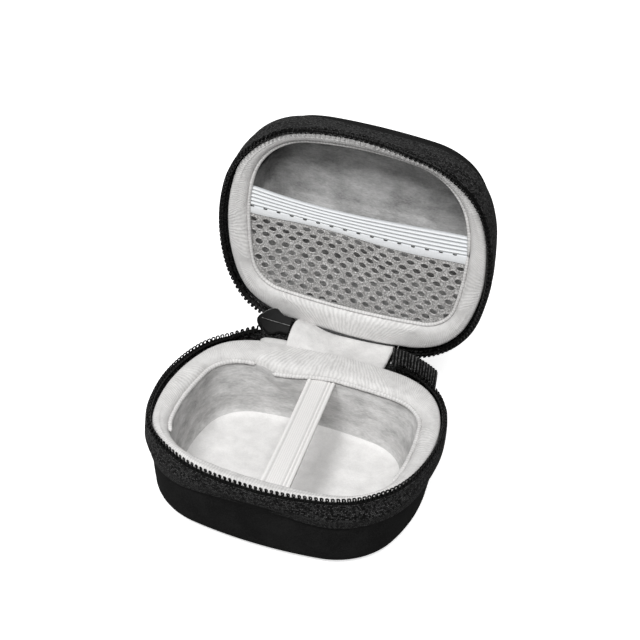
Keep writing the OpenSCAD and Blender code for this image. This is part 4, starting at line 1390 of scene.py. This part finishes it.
def webbing_piece():
    """The webbing from the base's back over the hinge to the lid's back."""
    knots = [(34.32, 15.4), (35.0, 17.3), (35.9, 19.2), (36.15, 19.85), (36.7, 20.28), (37.6, 20.45)]
    lid_end = [turned(np.array([0, y, z]), OPEN)[1:] for y, z in ((35.9, BASE_H + 5.0), (35.1, BASE_H + 7.2),
                                                               (34.32, BASE_H + 9.3))]
    line = np.array(knots + [tuple(p) for p in lid_end])
    seg = np.concatenate([[0], np.cumsum(np.linalg.norm(np.diff(line, axis=0), axis=1))])
    u = np.linspace(0, seg[-1], 60)
    pts = np.column_stack([np.interp(u, seg, line[:, 0]), np.interp(u, seg, line[:, 1])])
    tan = np.gradient(pts, axis=0)
    tan /= np.linalg.norm(tan, axis=1)[:, None]
    normal = np.column_stack([tan[:, 1], -tan[:, 0]])
    xs = np.linspace(BAND_LEFT, HINGE_HALF, 70)
    thick = WEBBING_T + 0.07 * np.cos(xs * 2 * np.pi / 1.1)
    outer, inner = [], []
    for (y, z), (ny, nz) in zip(pts, normal):
        inner.append(np.stack([xs, np.full_like(xs, y), np.full_like(xs, z)], -1))
        outer.append(np.stack([xs, y + ny * thick, z + nz * thick], -1))
    verts, faces = slab(outer, inner)
    piece = add_piece("hinge_webbing", verts, faces, webbing_mat)
    uv_grid(piece, 2 * len(xs), 0.39, 0.4)
    return piece


webbing = webbing_piece()
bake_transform(webbing)
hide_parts("hinge_band")
print("webbing:", len(webbing.data.polygons), "faces")

# %% Webbing tab over the zip's closed end
TAB_D, TAB_RIB = 2.62, 1.0
# The fold's rows: depth, and share of the thickness
TAB_ROWS = [(6.0, 0.1), (5.7, 0.75), (5.0, 1), (3.0, 1), (1.0, 1), (-1.0, 1), (-3.0, 1), (-3.8, 0.8),
            (-4.15, 0.1)]


def tab_piece():
    """The tab: ribbed webbing folded over both tapes at the zip's end."""
    end = length_at(FRONT_A + 360)
    s = np.linspace(end - 13.0, end + 2.4, 150)
    rib = 0.5 + 0.5 * np.cos((s - s[0]) * 2 * np.pi / TAB_RIB)
    fold = np.clip(np.minimum(s - s[0], s[-1] - s) / 0.6, 0.02, 1) ** 0.5
    out = 2.68 + (0.55 + 0.42 * rib ** 0.7) * fold
    t = angle_at(s)
    rings = [level(outline(RIM, TAB_D + (out - TAB_D) * k, t), BASE_H - w) for w, k in TAB_ROWS]
    rings += [level(outline(RIM, TAB_D, t), BASE_H - w) for w in (-4.15, 0.9, 6.0)]
    rings = np.array(rings)
    faces = grid_faces(len(rings), len(s), closed_n=False, closed_m=True)
    faces.append(tuple(i * len(s) for i in range(len(rings))))
    faces.append(tuple(i * len(s) + len(s) - 1 for i in reversed(range(len(rings)))))
    piece = add_piece("end_tab", rings.reshape(-1, 3), faces, tab_mat)
    rows = np.concatenate([[0, 0.7, 1.4, 3.4, 5.4, 7.4, 9.4, 10.2, 10.6], [0, 5, 10]])
    # The UV's second number puts each rib's crest at a half unit, where the rib pattern paints its highlight
    uv_points(piece, np.repeat(rows, len(s)), np.tile((s - s[0]) / TAB_RIB + 0.5, len(rows)))
    return piece


tab = tab_piece()
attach(tab, "base")
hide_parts("zip_end_tab")
print("tab:", len(tab.data.polygons), "faces")

# %% [markdown]
# ## Zip tail
# Behind the parked slider the zip is closed, and its joined end stands in the plane halfway
# between the halves. Copies of the open coils could be bent into it; two short coils drawn
# face to face are simpler, because nobody sees where they begin. They ride a body that
# turns by half of the lid's angle.

# %% Zip tail
TAIL_PROFILE = [(2.3, -1.6), (2.3, 1.6), (1.75, 1.6), (1.75, -1.6)]


def middle(p):
    """Points of the closed case, turned into the plane between the open halves."""
    return turned(p, OPEN / 2)


def tail_parts():
    """The tail's tape, and its two coils half a tooth apart."""
    s = np.arange(0.2 - BAND_LEFT, SLIDER_S + 1.0, 0.4)
    rings = np.array([level(outline(RIM, d, angle_at(s)), BASE_H + z) for d, z in TAIL_PROFILE])
    tape_part = sweep(rings.transpose(1, 0, 2))
    count = int((s[-1] - s[0]) / PITCH)
    threads = []
    for sign, phase in ((-1, 0.0), (1, 0.5)):
        a = 2 * np.pi * np.arange(count * COIL_STEPS + 1) / COIL_STEPS
        at = s[0] + 0.3 + PITCH * (a / (2 * np.pi) + phase * 0.9)
        w = 0.65 - 1.0 * np.cos(a)
        xy = outline(RIM, 0.80 + 0.50 * np.sin(a), angle_at(at))
        threads.append(tube(level(xy, BASE_H + sign * w), 0.3, 6))
    return tape_part, threads


(v, f), threads = tail_parts()
tail_tape = add_piece("tail_tape", middle(v), f, tape_mat)
tail_tape.data.uv_layers.new(name="UVMap")
v, f = merged(threads)
tail_coil = add_piece("tail_coil", middle(v), f, coil_mat)
for piece in (tail_tape, tail_coil):
    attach(piece, "zip_end")
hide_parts("zip_tail")
print("tail:", len(tail_coil.data.polygons), "faces")

# %% [markdown]
# ## Slider
# The slider is a casting in black paint: two plates joined by a wedge between the coils,
# with flanges that hold the coils in, and edges that catch the light. Two beveled plates from
# a drawn outline would do. Here each plate is swept along the corner's arc, so it curves with
# the zip, and the edges' highlights are painted on thin threads laid on it, because an edge
# mask by curvature wouldn't survive the export.

# %% Slider plates
CORNER = corner_of(RIM) * np.array([-1, 1])
PLATE_T, INNER_D, OUTER_D = 0.75, -1.05, 2.9
HALF_L, BEVEL = 5.35, 0.42
PLATE_WIDTHS = np.array([(-5.35, 2.55), (-5.0, 2.85), (-3.6, 2.82), (-2.4, 2.86), (-1.5, 3.15), (-0.6, 3.75),
                         (0.1, 4.1), (0.8, 4.2), (1.5, 4.08), (2.4, 3.7), (3.4, 3.05), (4.2, 2.3), (4.8, 1.5),
                         (5.2, 0.75), (5.35, 0.02)]) * (1, 8.2 / 8.4)


def slider_place(local):
    """(radial, along, across) from the corner's centre to the case's frame."""
    local = np.asarray(local, float)
    a = math.radians(SLIDER_T)
    # Along the zip the plates follow the corner's arc
    ang = a + local[..., 1] / (RIM[2] + 1.0)
    x = CORNER[0] + (RIM[2] + local[..., 0]) * np.cos(ang)
    y = CORNER[1] + (RIM[2] + local[..., 0]) * np.sin(ang)
    return middle(np.stack([x, y, BASE_H + local[..., 2]], -1))


def half_width(s):
    """Half width of the slider's plates along its length, s from the tail to the nose."""
    return np.interp(s, *PLATE_WIDTHS.T)


def plate(d0, d1, bevel, ridge=0.0, flip=False):
    """A plate between two depths with rounded edges and a ridge along its middle."""
    s = np.concatenate([np.linspace(-HALF_L, 4.2, 34), np.linspace(4.35, HALF_L, 10)])
    across = np.linspace(-1, 1, 25)
    outer, inner = [], []
    for si in s:
        hw = half_width(si)
        end = min(1.0, (si + HALF_L) / 0.35 + 0.02, (HALF_L - si) / 0.35 + 0.02)
        z = across * hw
        edge = np.clip((hw - np.abs(z)) / bevel, 0, 1)
        round_over = bevel * (1 - np.sqrt(np.clip(1 - (1 - edge) ** 2, 0, 1)))
        crown = ridge * np.exp(-(z / 0.16) ** 2) + 0.15 * (1 - (z / 4.2) ** 2)
        top = d1 - round_over - 0.25 * bevel * (1 - math.sqrt(end)) * 2 + crown
        outer.append(np.stack([top, np.full_like(z, si), z], -1))
        inner.append(np.stack([np.full_like(z, d0), np.full_like(z, si), z], -1))
    verts, faces = slab(outer, inner)
    if flip:
        verts = verts * np.array([-1, 1, 1]) + np.array([d0 + d1, 0, 0])
    return slider_place(verts), faces


# %% Flanges and wedge


def flange(sign):
    """A flange along one edge of the inner plate, from the shoulder to the tail."""
    rings = []
    for si in np.linspace(-5.2, 3.6, 28):
        hw = half_width(si) - 0.02
        lo, hi = hw - 0.75, hw
        rings.append(np.array([[INNER_D + 0.2, si, sign * lo], [0.75, si, sign * lo],
                               [0.8, si, sign * (hi - 0.2)], [0.55, si, sign * hi],
                               [INNER_D + 0.2, si, sign * hi]]))
    verts, faces = sweep(rings)
    return slider_place(verts), faces


def wedge():
    """The wedge between the plates, which parts the coils at the slider's nose."""
    rings = []
    for d in (INNER_D + 0.3, OUTER_D + 0.2):
        rings.append(np.array([[d, 4.5, 0.6], [d, 2.6, 0.9], [d, 1.8, 0.25], [d, 1.8, -0.25],
                               [d, 2.6, -0.9], [d, 4.5, -0.6]]))
    verts, faces = sweep(rings)
    return slider_place(verts), faces


v, f = merged([plate(INNER_D, INNER_D + PLATE_T, BEVEL, 0.12, flip=True),
               plate(OUTER_D, OUTER_D + PLATE_T, BEVEL), flange(-1), flange(1), wedge()])
slider = add_piece("slider_plates", v, f, slider_mat)
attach(slider, "slider")
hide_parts("slider_body")
print("slider:", len(slider.data.polygons), "faces")

# %% Painted edge highlights, and paint for the bridge and the pull


def highlight_line(points, radius=0.1):
    """A painted highlight: a thin bright line along the inner plate."""
    return tube(slider_place(np.array(points)), radius, 6)


def plate_edge(first, last):
    """Points just inside the inner plate's edge."""
    return [(INNER_D + 0.1, si, half_width(si) - 0.1) for si in np.linspace(first, last, 12)]


v, f = merged([highlight_line([(INNER_D - 0.2, si, 0) for si in np.linspace(-5.1, 4.9, 24)]),
               highlight_line(plate_edge(4.9, 2.2)), highlight_line(plate_edge(0.4, -5.1), 0.12)])
highlit = add_piece("slider_edge_highlights", v, f, edge_highlight_mat)
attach(highlit, "slider")
for name in ("slider_bridge", "pull_tab"):
    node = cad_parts[name]
    node.data.materials.clear()
    node.data.materials.append(slider_mat)
print("worn edges:", len(highlit.data.polygons), "faces")

# %% [markdown]
# ## Floor
# A product photograph stands on a white sweep. A white diffuse floor would need strong
# lamps to look white, and they would bleach the velvet. So the floor also glows, to the
# camera alone, and keeps a plain grey for the light that it sends back into the case. The
# shadow stays visible on it.

# %% Floor
FLOOR_SIZE, FLOOR_GLOW, FLOOR_SENT, FLOOR_SEEN = 4, 0.68, 0.35, 0.92
floor_mat = bpy.data.materials.new("floor")
floor_mat.use_nodes = True
tree = floor_mat.node_tree
floor_shader = tree.nodes["Principled BSDF"]
floor_shader.inputs["Roughness"].default_value = 0.9
floor_shader.inputs["Specular IOR Level"].default_value = 0.1
floor_shader.inputs["Emission Color"].default_value = (1, 1, 1, 1)
path = tree.nodes.new("ShaderNodeLightPath")
glow = math_node(tree, "MULTIPLY", path.outputs["Is Camera Ray"], FLOOR_GLOW)
tree.links.new(glow, floor_shader.inputs["Emission Strength"])
pale = tree.nodes.new("ShaderNodeMix")
pale.data_type = "RGBA"
tree.links.new(path.outputs["Is Camera Ray"], pale.inputs[0])
# Sockets 6 and 7 are the Mix node's two colours
for socket, shade in ((6, FLOOR_SENT), (7, FLOOR_SEEN)):
    pale.inputs[socket].default_value = (shade, shade, shade, 1)
tree.links.new(pale.outputs[2], floor_shader.inputs["Base Color"])
mesh = bpy.data.meshes.new("floor")
mesh.from_pydata([(x * FLOOR_SIZE, y * FLOOR_SIZE, 0) for x, y in ((-1, -1), (1, -1), (1, 1), (-1, 1))],
                 [], [(0, 1, 2, 3)])
floor = bpy.data.objects.new("floor", mesh)
mesh.materials.append(floor_mat)
bpy.context.scene.collection.objects.link(floor)
print("floor:", 2 * FLOOR_SIZE, "m square")

# %% [markdown]
# ## Light
# Two soft lamps stand in front, high and to both sides, as a photographer's boxes do. They
# leave the lid's far wall and the base's near wall in shade. One weak lamp behind keeps the
# black shell apart from its own shadow. An image of a studio would light it too, but three
# lamps are easy to move one at a time.

# %% Light
WORLD_STRENGTH = 0.17
world = bpy.data.worlds.new("studio")
bpy.context.scene.world = world
world.use_nodes = True
world.node_tree.nodes["Background"].inputs["Color"].default_value = (1, 1, 1, 1)
world.node_tree.nodes["Background"].inputs["Strength"].default_value = WORLD_STRENGTH


def area_light(name, position, target, size, power):
    """A round soft lamp that faces a target."""
    data = bpy.data.lights.new(name, "AREA")
    data.shape, data.size, data.energy = "DISK", size, power
    lamp = bpy.data.objects.new(name, data)
    lamp.location = position
    lamp.rotation_euler = (Vector(target) - Vector(position)).to_track_quat("-Z", "Y").to_euler()
    bpy.context.scene.collection.objects.link(lamp)


CENTRE = (0.0, 0.02, 0.04)
area_light("key_left", (-0.2, -0.45, 0.67), CENTRE, 0.26, 4.0)
area_light("key_right", (0.2, -0.44, 0.67), CENTRE, 0.3, 3.5)
area_light("back", (-0.3, 0.55, 0.6), CENTRE, 0.4, 0.8)
print("lamps:", sorted(lamp.name for lamp in bpy.data.lights))

# %% [markdown]
# ## Camera
# The camera was fitted to points of the photograph, so its three axes are written down as
# they were found. Pointing it by hand with a Track To constraint would lose the slight roll
# of the picture. Depth of field stays off, and the view transform is Standard, so that a
# colour renders as it is written.

# %% Camera
camera_data = bpy.data.cameras.new("camera")
camera = bpy.data.objects.new("camera", camera_data)
bpy.context.scene.collection.objects.link(camera)
camera_data.sensor_width = 36.0
camera_data.lens = 75.89
camera_data.clip_start = 0.01
RIGHT, UP, BACK = (0.94146, 0.32985, 0.06972), (-0.23709, 0.50075, 0.83250), (0.23969, -0.80028, 0.54964)
place = Matrix((RIGHT, UP, BACK)).transposed().to_4x4()
place.translation = Vector((0.09065, -0.28899, 0.25504))
camera.matrix_world = place
bpy.context.scene.camera = camera
bpy.context.scene.view_settings.view_transform = "Standard"
print("camera at", tuple(round(v, 4) for v in camera.location))
